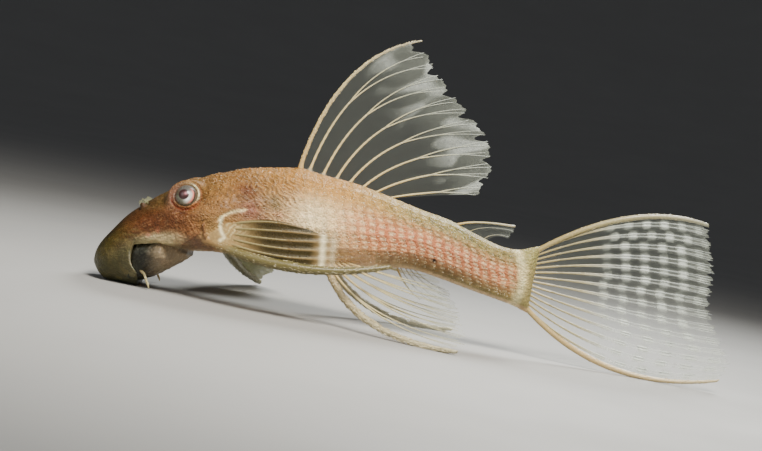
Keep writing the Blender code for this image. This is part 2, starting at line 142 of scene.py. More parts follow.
# The sucker mouth: X, height of its underside, half width. Its top follows the head.
LIP_STATIONS = (
    (-2.65, 0.85, 0.0),
    (-2.2, 0.4, 2.5),
    (-1.4, -0.12, 4.0),
    (-0.2, -0.15, 4.9),
    (1.0, -0.05, 5.25),
    (2.6, 0.55, 5.4),
    (4.4, 1.45, 5.6),
    (6.2, 2.8, 5.0),
    (7.6, 3.9, 3.9),
    (8.3, 4.55, 2.6),
    (8.6, 4.9, 0.0),
)
MOUTH_CENTRE = (3.9, 0.0, 0.9)
MOUTH_RADII = (1.5, 2.3, 1.1)
# The snout's skin reaches down over the front of the mouth: X and height of its lower
# edge, as far back as the corner. Below, the edge leans back: height and how far.
SNOUT_EDGE = (
    (-3.45, 2.4),
    (-3.3, 1.8),
    (-3.0, 1.25),
    (-2.65, 0.8),
    (-2.2, 0.35),
    (-1.4, -0.12),
    (-0.2, -0.2),
    (1.0, -0.2),
    (2.6, -0.2),
)
CORNER_X = 1.42
CORNER_LEAN = (
    (0.0, 1.2),
    (1.0, 1.35),
    (1.85, 1.15),
    (2.3, 0.62),
    (2.85, 0.26),
    (3.5, 0.03),
    (4.2, 0.0),
)
# The line of the right barbel, root to tip, and how thick it is there.
BARBEL = (
    (2.8, 4.9, 2.2),
    (3.2, 5.2, 2.05),
    (3.6, 5.5, 1.8),
    (3.95, 5.7, 1.25),
    (4.3, 5.85, 0.7),
    (4.5, 5.9, 0.25),
)
BARBEL_RADII = (0.12, 0.19, 0.17, 0.15, 0.13, 0.05)
BARBEL_STEPS = 22

# The camera: the photo's scale at the middle plane of the fish, its tilt and height.
FRAME_WIDTH = 762
MM_PER_PIXEL = 0.125
VIEW_CENTRE = (31.023, 0.0, 12.853)
VIEW_ROLL = 10.77
VIEW_ELEVATION = 3.0
LENS = 100
SENSOR = 36


# Curves and the body's surface.


def spline(stations):
    """A smooth curve through rows of (place, value, ...): a function of place."""
    rows = np.asarray(stations, float)
    place, values = rows[:, 0], rows[:, 1:]
    slopes = np.gradient(values, place, axis=0)

    def at(x):
        x = np.clip(np.atleast_1d(np.asarray(x, float)), place[0], place[-1])
        k = np.clip(np.searchsorted(place, x) - 1, 0, len(place) - 2)
        step = (place[k + 1] - place[k])[:, None]
        t = (x - place[k])[:, None] / step
        return (
            values[k] * (1 + 2 * t) * (1 - t) ** 2
            + slopes[k] * step * t * (1 - t) ** 2
            + values[k + 1] * t * t * (3 - 2 * t)
            + slopes[k + 1] * step * t * t * (t - 1)
        )

    return at


def nose_scale(x):
    """The root of the distance from the snout, in which a round nose is smooth."""
    return np.sqrt(np.maximum(np.asarray(x, float) - SNOUT_X, 0.0))


body_spline = spline([(float(nose_scale(row[0])), *row[1:]) for row in BODY_STATIONS])
section_spline = spline(SECTION_STATIONS)


def body_grid(xs, angles):
    """Points of the body's surface, a row for each X and a column for each angle in
    degrees: -90 under, 90 on top, past 90 on the fish's right."""
    back, under, half, belt = (column[:, None] for column in body_spline(nose_scale(xs)).T)
    square_up, square_low = (column[:, None] for column in section_spline(xs).T)
    level = under + belt * (back - under)
    turn = np.radians(angles)[None, :]
    across, rise = np.cos(turn), np.sin(turn)
    square = np.where(rise > 0, square_up, square_low)
    reach = (np.abs(across) ** square + np.abs(rise) ** square) ** (-1 / square)
    tall = np.where(rise > 0, back - level, level - under)
    x = np.broadcast_to(np.asarray(xs, float)[:, None], reach.shape)
    return np.stack([x, -half * reach * across, level + tall * reach * rise], -1)


def unit(vectors):
    """Vectors brought to a length of 1."""
    return vectors / np.linalg.norm(vectors, axis=-1, keepdims=True)


def grid_normals(points, wrapped=True):
    """Unit normals of a grid of points."""
    along = np.gradient(points, axis=0)
    if wrapped:
        around = np.roll(points, -1, 1) - np.roll(points, 1, 1)
    else:
        around = np.gradient(points, axis=1)
    normal = np.cross(around, along)
    return normal / (np.linalg.norm(normal, axis=-1, keepdims=True) + 1e-12)


def skin_frame(x, angle, side=LEFT):
    """A point of the skin on one side, and the direction straight out of it."""
    grid = body_grid(np.array([x - 0.05, x, x + 0.05]), np.array([angle - 1, angle, angle + 1]))
    normal = unit(np.cross(grid[1, 2] - grid[1, 0], grid[2, 1] - grid[0, 1]))
    if normal[1] > 0:
        normal = -normal
    mirror = np.array([1, -side, 1])
    return grid[1, 1] * mirror, normal * mirror


def smooth(low, high, value):
    """A smooth step from 0 at low to 1 at high."""
    t = np.clip((value - low) / (high - low), 0, 1)
    return t * t * (3 - 2 * t)


def between(value, start, full, fading, end):
    """A smooth step up from start to full, and down again from fading to end."""
    return smooth(start, full, value) * (1 - smooth(fading, end, value))


def hump(value, width):
    return np.exp(-((value / width) ** 2))


def ripple(points, size, seed):
    """A smooth random field of about unit height: waves in seeded directions."""
    random = np.random.default_rng(seed)
    total = np.zeros(points.shape[:-1])
    waves = 9
    for _ in range(waves):
        direction = random.normal(size=3)
        direction *= random.uniform(0.7, 1.5) * 2 * math.pi / size / np.linalg.norm(direction)
        total += np.sin(points @ direction + random.uniform(0, 2 * math.pi))
    return total / math.sqrt(waves / 2)


def line_distance(x, z, line):
    """The distance in the side view from a line of (X, Z) points."""
    best = np.full(np.shape(x), 1e9)
    for (x0, z0), (x1, z1) in zip(line[:-1], line[1:]):
        dx, dz = x1 - x0, z1 - z0
        t = np.clip(((x - x0) * dx + (z - z0) * dz) / (dx * dx + dz * dz), 0, 1)
        best = np.minimum(best, np.hypot(x - x0 - t * dx, z - z0 - t * dz))
    return best


# Colours.


def tone(red, green, blue):
    """A screen colour, as linear light."""
    c = np.array([red, green, blue]) / 255
    return np.where(c <= 0.04045, c / 12.92, ((c + 0.055) / 1.055) ** 2.4)


def tones_along(x, rows):
    """Colours at X from rows of (X, red, green, blue)."""
    rows = np.array(rows, float)
    colours = np.array([tone(*row[1:]) for row in rows])
    return np.stack([np.interp(x, rows[:, 0], colours[:, k]) for k in range(3)], -1)


def blend(base, colour, weight):
    return base + (colour - base) * np.asarray(weight)[..., None]


class Paint:
    """A colour for each point, over which others are laid."""

    def __init__(self, colour):
        self.colour = colour

    def over(self, red, green, blue, weight):
        self.colour = blend(self.colour, tone(red, green, blue), weight)


# Meshes.


def grid_faces(rows, columns, wrapped=False, start=0):
    """Four-sided faces of a grid of points, joined round its columns if wrapped."""
    last = columns if wrapped else columns - 1
    r, c = np.meshgrid(np.arange(rows - 1), np.arange(last), indexing="ij")
    a = r * columns + c
    b = r * columns + (c + 1) % columns
    return start + np.stack([a, b, b + columns, a + columns], -1).reshape(-1, 4)


class Shape:
    """Points, faces, colours with alpha, and map places, gathered into one mesh."""

    def __init__(self):
        self.points, self.faces, self.tones, self.places = [], [], [], []
        self.count = 0

    def add(self, points, faces, colour, alpha=1.0, place=None):
        points = np.asarray(points, float).reshape(-1, 3)
        many = len(points)
        colour = np.broadcast_to(np.asarray(colour, float), (many, 3))
        alpha = np.broadcast_to(np.asarray(alpha, float), (many,))
        if place is None:
            place = np.zeros((many, 2))
        self.points.append(points)
        self.faces += [tuple(face) for face in (np.asarray(faces) + self.count).tolist()]
        self.tones.append(np.column_stack([colour, alpha]))
        self.places.append(np.broadcast_to(np.asarray(place, float), (many, 2)))
        self.count += many

    def close(self, start, columns, middle, colour, alpha=1.0, turned=False):
        """Closes a ring of points, the first of which is start, round a middle."""
        centre = self.count
        self.add(middle, np.zeros((0, 4), int), colour, alpha)
        for k in range(columns):
            pair = (start + k, start + (k + 1) % columns)
            self.faces.append((centre, *(pair[::-1] if turned else pair)))

    def piece(self, name, material, mapped=False):
        points = np.concatenate(self.points)
        points[:, 2] = np.maximum(points[:, 2], 0.0)
        mesh = bpy.data.meshes.new(name)
        mesh.from_pydata((points * MM).tolist(), [], self.faces)
        layer = mesh.color_attributes.new("tone", "FLOAT_COLOR", "POINT")
        layer.data.foreach_set("color", np.concatenate(self.tones).ravel())
        if mapped:
            corners = np.empty(len(mesh.loops), np.int32)
            mesh.loops.foreach_get("vertex_index", corners)
            places = np.concatenate(self.places)[corners]
            mesh.uv_layers.new(name="OFBake").data.foreach_set("uv", places.ravel())
        mesh.shade_smooth()
        mesh.materials.append(material)
        obj = bpy.data.objects.new(name, mesh)
        bpy.context.scene.collection.objects.link(obj)
        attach(obj, "root")
        return obj


def add_tube(shape, centres, across, normal, wide, thick, colour, alpha=1.0, sides=8):
    """A tube with an oval section, closed by a point at each end."""
    turn = np.linspace(0, 2 * math.pi, sides, endpoint=False)
    wide, thick = (np.broadcast_to(v, (len(centres),)) for v in (wide, thick))
    rings = (
        centres[:, None]
        + np.cos(turn)[None, :, None] * (across * wide[:, None])[:, None]
        + np.sin(turn)[None, :, None] * (normal * thick[:, None])[:, None]
    )
    count = len(centres)
    points = np.concatenate([rings.reshape(-1, 3), centres[:1], centres[-1:]])
    first, last = count * sides, count * sides + 1
    faces = grid_faces(count, sides, True).tolist()
    end = (count - 1) * sides
    for k in range(sides):
        other = (k + 1) % sides
        faces.append((first, other, k, k))
        faces.append((last, end + k, end + other, end + other))
    spread = np.concatenate([np.repeat(np.arange(count), sides), [0, count - 1]])
    colour = np.broadcast_to(colour, (count, 3))[spread]
    alpha = np.broadcast_to(alpha, (count,))[spread]
    add_mixed(shape, points, faces, colour, alpha)


def add_mixed(shape, points, faces, colour, alpha):
    """Adds faces of four corners, of which a triangle repeats its last."""
    start = shape.count
    shape.add(points, np.zeros((0, 4), int), colour, alpha)
    for face in faces:
        corners = tuple(start + k for k in face)
        shape.faces.append(corners[:3] if face[2] == face[3] else corners)


def add_round_tube(shape, line, radii, colour, steps, sides=12):
    """A round tube along a smooth line through a few points."""
    share = np.linspace(0, 1, len(line))
    at = spline([(s, *point, radius) for s, point, radius in zip(share, line, radii)])
    found = at(np.linspace(0, 1, steps))
    centres, radius = found[:, :3], found[:, 3]
    along = np.gradient(centres, axis=0)
    across = unit(np.cross(along, (0.13, 0.0, 1.0)))
    normal = unit(np.cross(across, along))
    add_tube(shape, centres, across, normal, radius, radius, colour, sides=sides)


# Materials.


class Nodes:
    """A material's nodes, made and linked in short lines."""

    def __init__(self, name):
        self.material = bpy.data.materials.new(name)
        self.material.use_nodes = True
        self.tree = self.material.node_tree
        self.shader = self.tree.nodes["Principled BSDF"]

    def make(self, kind, **inputs):
        node = self.tree.nodes.new(kind)
        for key, value in inputs.items():
            if hasattr(node, key):
                setattr(node, key, value)
            else:
                self.set(node, key.replace("_", " "), value)
        return node

    def set(self, node, name, value):
        socket = node.inputs[name]
        if isinstance(value, bpy.types.NodeSocket):
            self.tree.links.new(value, socket)
        else:
            socket.default_value = value

    def shade(self, **inputs):
        for key, value in inputs.items():
            self.set(self.shader, key.replace("_", " "), value)

    def place(self):
        return self.make("ShaderNodeTexCoord").outputs["Object"]

    def noise(self, scale, detail=3.0, distortion=0.0):
        node = self.make(
            "ShaderNodeTexNoise",
            Vector=self.place(),
            Scale=scale,
            Detail=detail,
            Distortion=distortion,
        )
        return node.outputs["Fac"]

    def cells(self, scale, feature="F1"):
        node = self.make("ShaderNodeTexVoronoi", Vector=self.place(), Scale=scale)
        node.feature = feature
        return node.outputs["Distance"]

    def stretch(self, value, low, high, to_low, to_high):
        """A value between low and high, moved to lie between two others."""
        node = self.make("ShaderNodeMapRange")
        names = ("Value", "From Min", "From Max", "To Min", "To Max")
        for name, given in zip(names, (value, low, high, to_low, to_high)):
            self.set(node, name, given)
        return node.outputs["Result"]

    def uneven(self, low, high, scale, *more):
        """A noise that wanders between low and high."""
        return self.stretch(self.noise(scale, *more), 0.3, 0.7, low, high)

    def sum(self, *values):
        total = values[0]
        for value in values[1:]:
            node = self.make("ShaderNodeMath")
            self.tree.links.new(total, node.inputs[0])
            self.tree.links.new(value, node.inputs[1])
            total = node.outputs[0]
        return total

    def times(self, first, second):
        node = self.make("ShaderNodeMath")
        node.operation = "MULTIPLY"
        for socket, value in zip(node.inputs, (first, second)):
            if isinstance(value, bpy.types.NodeSocket):
                self.tree.links.new(value, socket)
            else:
                socket.default_value = value
        return node.outputs[0]

    def painted(self):
        return self.make("ShaderNodeAttribute", attribute_name="tone")

    def tinted(self, colour, factor):
        """The colour made lighter or darker by a factor."""
        node = self.make("ShaderNodeVectorMath")
        node.operation = "SCALE"
        self.tree.links.new(colour, node.inputs[0])
        self.tree.links.new(factor, node.inputs["Scale"])
        return node.outputs[0]

    def bump(self, height, strength, distance=0.0001):
        node = self.make("ShaderNodeBump", Height=height, Strength=strength, Distance=distance)
        return node.outputs["Normal"]


def skin_material():
    n = Nodes("albino skin")
    paint = n.painted()
    mottle = n.uneven(0.88, 1.12, 1500, 4.0)
    grains = n.stretch(n.cells(3600), 0.1, 0.6, 1.12, 0.84)
    colour = n.tinted(n.tinted(paint.outputs["Color"], mottle), grains)
    wrinkle = n.times(n.noise(5200, 3.0, 0.6), 0.7)
    bead = n.times(n.cells(4200, "SMOOTH_F1"), -0.9)
    height = n.times(n.sum(wrinkle, bead), paint.outputs["Alpha"])
    n.shade(
        Base_Color=colour,
        Roughness=n.uneven(0.34, 0.56, 2600, 2.0),
        Normal=n.bump(height, 0.9, 0.00024),
        Subsurface_Weight=0.1,
        Subsurface_Radius=(1.0, 0.42, 0.24),
        Subsurface_Scale=0.0008,
        Coat_Weight=0.05,
        Coat_Roughness=0.2,
        Specular_IOR_Level=0.2,
    )
    return n.material


def lip_material():
    n = Nodes("lip skin")
    paint = n.painted()
    speckle = n.stretch(n.cells(2600), 0.08, 0.5, 1.2, 0.8)
    colour = n.tinted(paint.outputs["Color"], speckle)
    height = n.sum(n.times(n.cells(3000, "SMOOTH_F1"), -1.0), n.times(n.noise(6000), 0.4))
    n.shade(
        Base_Color=colour,
        Roughness=n.uneven(0.3, 0.5, 2400, 2.0),
        Normal=n.bump(height, 0.7, 0.00014),
        Subsurface_Weight=0.15,
        Subsurface_Radius=(1.0, 0.6, 0.45),
        Subsurface_Scale=0.0008,
        Specular_IOR_Level=0.3,
        Coat_Weight=0.08,
        Coat_Roughness=0.2,
    )
    return n.material


def eye_material():
    n = Nodes("eye")
    paint = n.painted()
    fibre = n.uneven(0.86, 1.1, 7000, 3.0, 1.5)
    n.shade(
        Base_Color=n.tinted(paint.outputs["Color"], fibre),
        Roughness=n.uneven(0.3, 0.45, 5000),
        Subsurface_Weight=0.1,
        Subsurface_Radius=(1.0, 0.5, 0.4),
        Subsurface_Scale=0.0005,
        Coat_Weight=0.45,
        Coat_Roughness=0.05,
    )
    return n.material


def ray_material():
    n = Nodes("fin ray")
    paint = n.painted()
    streak = n.uneven(0.88, 1.1, 3800, 3.0)
    n.shade(
        Base_Color=n.tinted(paint.outputs["Color"], streak),
        Alpha=paint.outputs["Alpha"],
        Roughness=n.uneven(0.28, 0.46, 3000, 2.0),
        Normal=n.bump(n.noise(5200, 2.0), 0.5, 0.00008),
        Subsurface_Weight=0.15,
        Subsurface_Radius=(1.0, 0.9, 0.7),
        Subsurface_Scale=0.0004,
        Coat_Weight=0.15,
        Coat_Roughness=0.2,
    )
    return n.material


def web_material():
    n = Nodes("fin web")
    paint = n.painted()
    cloud = n.stretch(n.noise(2200, 4.0, 0.4), 0.35, 0.7, 0.8, 1.15)
    n.shade(
        Base_Color=paint.outputs["Color"],
        Alpha=n.times(paint.outputs["Alpha"], cloud),
        Roughness=n.uneven(0.3, 0.5, 2600, 2.0),
        Normal=n.bump(n.noise(4200, 3.0), 0.5, 0.00008),
        Specular_IOR_Level=0.18,
    )
    return n.material


def spine_material():
    n = Nodes("odontode")
    paint = n.painted()
    n.shade(
        Base_Color=n.tinted(paint.outputs["Color"], n.uneven(0.9, 1.1, 3000)),
        Roughness=n.uneven(0.25, 0.4, 4000),
        Coat_Weight=0.2,
        Coat_Roughness=0.15,
    )
    return n.material


def floor_material():
    n = Nodes("floor")
    ramp = n.make("ShaderNodeValToRGB", Fac=n.noise(14, 3.0))
    for stop, colour in zip(ramp.color_ramp.elements, (FLOOR_SHADE, FLOOR_PALE)):
        stop.color = (*colour, 1)
    n.shade(Base_Color=ramp.outputs["Color"], Roughness=n.uneven(0.6, 0.75, 40))
    return n.material


# The skin. Its colours are rows of (X, red, green, blue) along the body.

BACK_TONES = (
    (-3.4, 64, 57, 24),
    (-1.5, 53, 43, 16),
    (1.0, 58, 42, 17),
    (4.0, 90, 68, 34),
    (7.0, 128, 97, 58),
    (10.0, 124, 89, 44),
    (14.0, 146, 102, 49),
    (19.0, 176, 121, 46),
    (25.0, 194, 136, 52),
    (33.0, 174, 147, 78),
    (40.0, 145, 137, 81),
    (47.0, 152, 138, 82),
    (50.0, 154, 144, 90),
    (53.0, 140, 134, 87),
)
FLANK_TONES = (
    (-3.4, 78, 74, 34),
    (-1.5, 77, 66, 27),
    (1.0, 82, 60, 28),
    (4.0, 84, 56, 29),
    (7.0, 104, 67, 36),
    (10.0, 136, 96, 53),
    (14.0, 134, 97, 58),
    (19.0, 198, 156, 104),
    (25.0, 230, 190, 128),
    (31.0, 214, 148, 98),
    (40.0, 195, 140, 98),
    (47.0, 189, 139, 94),
    (50.0, 168, 151, 98),
    (53.0, 145, 136, 90),
)
LOW_TONES = (
    (-3.4, 66, 66, 37),
    (0.0, 74, 66, 43),
    (4.0, 188, 176, 132),
    (8.0, 104, 84, 60),
    (12.0, 148, 118, 80),
    (25.0, 196, 166, 112),
    (31.5, 194, 162, 116),
    (37.0, 136, 112, 66),
    (42.0, 124, 110, 68),
    (50.0, 148, 134, 82),
    (53.0, 140, 132, 84),
)
BELLY_TONE = (205, 172, 128)
# The one dark dot, on the left flank: X, Z and half width.
DARK_DOT = (38.3, 10.0, 0.26)
# The bony rings of the gill cover lie round this place, this far apart.
GILL_RINGS = (10.2, 10.6, 0.5)
# Patches of colour on both sides: X, Z, half length, half height, tilt in degrees,
# colour, strength.
PATCHES = (
    (3.0, 8.3, 2.9, 1.5, 14, (94, 50, 26), 0.8),
    (6.2, 9.3, 1.5, 0.8, 20, (98, 56, 32), 0.6),
    (3.35, 6.75, 0.32, 0.26, 0, (176, 112, 82), 0.8),
    (4.4, 7.5, 0.26, 0.34, 40, (176, 106, 76), 0.7),
    (3.1, 5.6, 0.34, 0.22, 20, (246, 230, 180), 0.95),
    (5.3, 6.6, 1.5, 0.55, 12, (246, 222, 168), 0.9),
    (7.2, 6.9, 1.1, 0.55, 8, (206, 176, 130), 0.75),
    (2.2, 5.2, 1.3, 0.3, 24, (206, 192, 142), 0.8),
    (1.0, 4.6, 0.4, 0.5, 60, (168, 158, 118), 0.7),
    (8.5, 8.6, 1.2, 1.3, 30, (128, 76, 40), 0.55),
    (9.6, 7.0, 1.1, 0.8, 0, (106, 76, 66), 0.75),
    (11.0, 6.6, 0.9, 0.6, 0, (118, 88, 74), 0.6),
    (16.8, 11.2, 0.9, 0.7, 0, (150, 104, 86), 0.6),
    (18.6, 12.2, 0.6, 0.4, 0, (206, 140, 110), 0.6),
    (12.0, 8.6, 1.8, 1.6, 20, (200, 164, 104), 0.7),
    (22.8, 12.2, 3.0, 2.6, -20, (252, 230, 180), 0.75),
    (26.5, 12.5, 2.4, 2.2, -15, (236, 198, 144), 0.5),
    (24.3, 9.0, 0.32, 2.2, 0, (255, 244, 214), 0.9),
    (25.8, 9.4, 0.4, 1.6, 0, (250, 236, 200), 0.6),
    (6.3, 13.6, 1.2, 0.4, 30, (112, 74, 42), 0.4),
    (8.9, 11.4, 0.4, 1.1, -25, (172, 124, 80), 0.5),
    (7.1, 10.35, 1.6, 0.2, -4, (78, 38, 18), 0.8),
    (5.2, 11.8, 0.5, 1.2, 0, (138, 98, 80), 0.6),
)
# Patches that lie over the fine lines of the shoulder.
SHOULDER_PATCHES = (
    (14.2, 14.4, 1.5, 0.8, -10, (88, 44, 22), 0.86),
    (15.2, 12.1, 1.35, 1.2, -30, (138, 84, 70), 0.75),
    (17.9, 13.6, 1.2, 0.8, -30, (96, 82, 46), 0.68),
    (16.9, 12.7, 0.9, 0.5, 0, (110, 84, 56), 0.45),
)


def skin_xs():
    """Where the rings of the skin are: closest at the nose, the mouth's corner, the eyes."""
    reach = math.sqrt(1.15 - SNOUT_X)
    nose = SNOUT_X + np.linspace(0.04, reach, 44) ** 2
    corner = np.arange(1.2, 1.86, 0.05)
    face = np.arange(1.9, 10.2, 0.105)
    rest = np.linspace(10.2, SKIN_END_X, 246)
    return np.concatenate([nose, corner, face, rest])


def skin_angles():
    """Angles round the section, closer together beside the eyes."""
    fine = np.linspace(-90, 270, 3601)
    folded = np.where(fine > 90, 180 - fine, fine)
    density = 1 + 1.3 * hump(folded - 48, 24)
    total = np.concatenate([[0], np.cumsum((density[1:] + density[:-1]) / 2)])
    total /= total[-1]
    return np.interp(np.linspace(0, 1, 257)[:-1], total, fine)


class Skin:
    """The body's surface with the fields that its relief and colours share.

    height: from 0 at the underside to 1 at the back
    flank: how far the surface faces sideways, from 0 to 1
    phase, over: the place along a plate from 0 to 1, and across it from -1 to 1
    plated: how near the plates are, from 0 to 1
    """

    def __init__(self, xs, angles):
        self.points = body_grid(xs, angles)
        self.normals = grid_normals(self.points)
        self.x, self.y, self.z = np.moveaxis(self.points, -1, 0)
        self.angle = np.broadcast_to(np.where(angles > 90, 180 - angles, angles), self.x.shape)
        back, under, _, belt = (column[:, None] for column in body_spline(nose_scale(xs)).T)
        self.height = (self.z - under) / (back - under + 1e-6)
        level = under + belt * (back - under)
        self.level, self.under = level, under
        self.flank = smooth(0.15, 0.5, np.abs(self.normals[..., 1]))
        lean = self.x + COLUMN_LEAN * (self.z - level)
        row = np.interp(self.angle, PLATE_ROWS, range(len(PLATE_ROWS)))
        part = row - np.floor(np.minimum(row, len(PLATE_ROWS) - 1.001))
        self.over = 2 * part - 1
        column = (lean - PLATES_START_X) / PLATE_PITCH + 0.22 * self.over**2
        self.phase = column - np.floor(column)
        self.plated = between(self.x, 12.4, 15.5, PLATES_END_X - 1, PLATES_END_X)
        self.plated = self.plated * smooth(-52, -46, self.angle)

    def tick_rows(self):
        """Three rows of spines along each row of plates, from 0 to 1."""
        return (0.5 - 0.5 * np.cos(3 * math.pi * (self.over + 1))) ** 1.3

    def shoulder(self):
        """How near the shoulder with its fine slanting lines is, from 0 to 1."""
        along = between(self.x, 12.6, 14.2, 18.5, 22.5)
        return along * between(self.height, 0.38, 0.52, 0.84, 0.95)

    def cheek(self):
        """How near the streaked cheek and gill cover are, from 0 to 1."""
        along = between(self.x, 0.5, 3.0, 10.5, 12.5)
        return along * between(self.height, 0.03, 0.12, 0.62, 0.8)

    def gill_rings(self):
        x, z, spacing = GILL_RINGS
        return np.sin(2 * math.pi * np.hypot(self.x - x, self.z - z) / spacing)

    def near(self, line, width):
        """How near a line on the side of the body is, from 0 to 1."""
        return hump(line_distance(self.x, self.z, line), width) * self.flank


def orbit(points, side):
    """Sinks the skin under the eyeball and raises a soft rim round it. Gives the moved
    points, how far each is from the eye's axis, and its share back and up from there."""
    x, y, z = EYE_CENTRE
    outward = look(side, EYE_LOOKS_UP, EYE_LOOKS_BACK)
    local = points - np.array((x, side * y, z))
    out = local @ outward
    spread = local - out[..., None] * outward
    around = np.linalg.norm(spread, axis=-1)
    ball = np.sqrt(np.maximum(EYE_RADIUS**2 - around**2, 0))
    inside = np.minimum(ball - 0.25, 0.55)
    rear, up = spread[..., 0] / (around + 1e-6), spread[..., 2] / (around + 1e-6)
    folded = np.clip(smooth(-0.2, 0.5, rear) + smooth(0.2, 0.8, -up), 0, 1)
    lid = 0.05 + 0.16 * folded + 0.1 * smooth(0.0, 0.8, rear)
    rim = RIM_OUT + lid * hump(around - RIM_RADIUS, 0.16)
    rim += folded * (0.07 * hump(around - 2.2, 0.16) - 0.12 * hump(around - 1.92, 0.13))
    wanted = inside + (rim - inside) * smooth(1.2, 1.5, around)
    same = np.sign(points[..., 1]) == side
    weight = (1 - smooth(1.95, 3.1, around)) * same * (np.abs(out) < 2.5)
    moved = points + ((wanted - out) * weight)[..., None] * outward
    return moved, np.where(same, around, 9.0), rear, up


def look(side, up, back):
    up, back = math.radians(up), math.radians(back)
    return np.array(
        (math.cos(up) * math.sin(back), side * math.cos(up) * math.cos(back), math.sin(up))
    )


def lines_across(s, lines, wander):
    """Waves across a set of fine lines, from -1 to 1, which wander off their way."""
    ahead, up, spacing = lines
    way = s.x * ahead + s.z * up + wander * ripple(s.points, 2.0, 3)
    return np.sin(2 * math.pi * way / spacing)


def skin_relief(s):
    """How far the skin is raised, in mm."""
    high = np.zeros_like(s.x)
    ridge = (1 - np.abs(s.over)) ** 1.5
    rise = s.phase**1.3 * (1 - smooth(0.88, 1.0, s.phase))
    seam = hump(1 - np.abs(s.over), 0.14) * (s.angle < 80)
    taper = 1 - 0.4 * smooth(30, 48, s.x)
    comb = rise * (0.45 + 0.55 * s.tick_rows())
    smoother = 1 - 0.6 * smooth(52, 72, s.angle)
    high += s.plated * taper * smoother * PLATE_RISE * (comb + 0.45 * ridge - 0.4 * seam)
    high += 0.1 * s.shoulder() * lines_across(s, SHOULDER_LINES, 0.17)
    bony = between(s.x, 3.5, 8.0, 14, 18) * smooth(0.2, 0.45, s.height) * (1 - 0.6 * s.cheek())
    high += bony * (0.028 * ripple(s.points, 0.75, 5) + 0.02 * ripple(s.points, 0.42, 6))
    high += 0.014 * smooth(-2.5, 1.0, s.x) * ripple(s.points, 0.5, 7)
    high += 0.06 * between(s.x, -1, 4, 9, 14) * ripple(s.points, 2.6, 8)
    high += 0.015 * s.cheek() * lines_across(s, CHEEK_LINES, 0.12)
    crest = hump(s.y, 1.1) * between(s.x, 11, 16, 18.6, 19.6) * (s.angle > 0)
    high += 0.28 * crest
    high -= 0.2 * s.near(GILL_LINE, 0.13)
    high += 0.12 * s.near(GILL_LINE, 0.5)
    high -= 0.3 * s.near(GILL_OPENING, 0.18)
    high += 0.14 * s.near(SHOULDER_LINE, 0.16)
    high += 0.12 * s.near(SHOULDER_BRANCH, 0.15)
    opercle = hump(np.hypot(s.x - 8.0, (s.z - 8.8) * 1.1), 1.5) * s.flank
    high += opercle * (0.14 + 0.015 * s.gill_rings())
    cheek = hump(np.hypot((s.x - 3.9) / 2.2, (s.z - 7.4) / 1.4), 1.0) * s.flank
    high += 0.16 * cheek
    high -= 0.14 * s.near(((2.6, 9.7), (5.0, 9.9), (7.4, 9.6), (8.6, 10.3)), 0.5)
    shoulder = hump(np.hypot((s.x - 11.9) / 1.9, (s.z - 8.5) / 1.6), 1.0) * s.flank
    high += 0.5 * shoulder
    for side in (LEFT, RIGHT):
        place, _ = skin_frame(NOSTRIL_X, NOSTRIL_ANGLE, side)
        away = np.linalg.norm(s.points - place, axis=-1)
        high += 0.16 * hump(away - 0.62, 0.2) - 0.55 * hump(away, 0.36)
    return high


def add_patches(paint, s, patches):
    """Soft oval patches of colour on both sides."""
    for x, z, length, height, tilt, shade, strength in patches:
        turn = math.radians(tilt)
        ahead = (s.x - x) * math.cos(turn) + (s.z - z) * math.sin(turn)
        up = (s.z - z) * math.cos(turn) - (s.x - x) * math.sin(turn)
        weight = np.exp(-((ahead / length) ** 2) - (up / height) ** 2)
        paint.over(*shade, strength * weight * smooth(0.0, 0.3, s.flank + 0.2))


def skin_tones(s, socket):
    """The skin's colour, and how rough its grain is."""
    back = tones_along(s.x, BACK_TONES)
    flank = tones_along(s.x, FLANK_TONES)
    low = tones_along(s.x, LOW_TONES)
    colour = blend(low, flank, smooth(0.12, 0.36, s.height))
    paint = Paint(blend(colour, back, smooth(0.6, 0.86, s.height)))
    belly = smooth(6, 10, s.x) * (1 - smooth(-62, -50, s.angle))
    paint.over(*BELLY_TONE, belly * 0.8)
    add_patches(paint, s, PATCHES)
    add_plate_tones(paint, s)
    add_fine_lines(paint, s)
    crescent = hump(s.x - 49.6 + 0.07 * (s.z - 9.0) ** 2, 0.55)
    paint.over(240, 226, 172, 0.7 * crescent)
    add_snout_tones(paint, s)
    for place in socket:
        add_eye_rim(paint, *place)
    # Painted shade in the pit of each nostril.
    for side in (LEFT, RIGHT):
        place, _ = skin_frame(NOSTRIL_X, NOSTRIL_ANGLE, side)
        away = np.linalg.norm(s.points - place, axis=-1)
        paint.over(60, 40, 28, 0.8 * hump(away, 0.34))
    head = 1 - smooth(12, 20, s.x)
    grains = 0.06 * ripple(s.points, 1.3, 20) + (0.04 + 0.05 * head) * ripple(s.points, 0.5, 21)
    colour = paint.colour * (1 + grains)[..., None]
    grain = 0.4 + 0.5 * smooth(2, 9, s.x) * smooth(0.2, 0.4, s.height)
    return np.clip(colour, 0.002, 1), grain


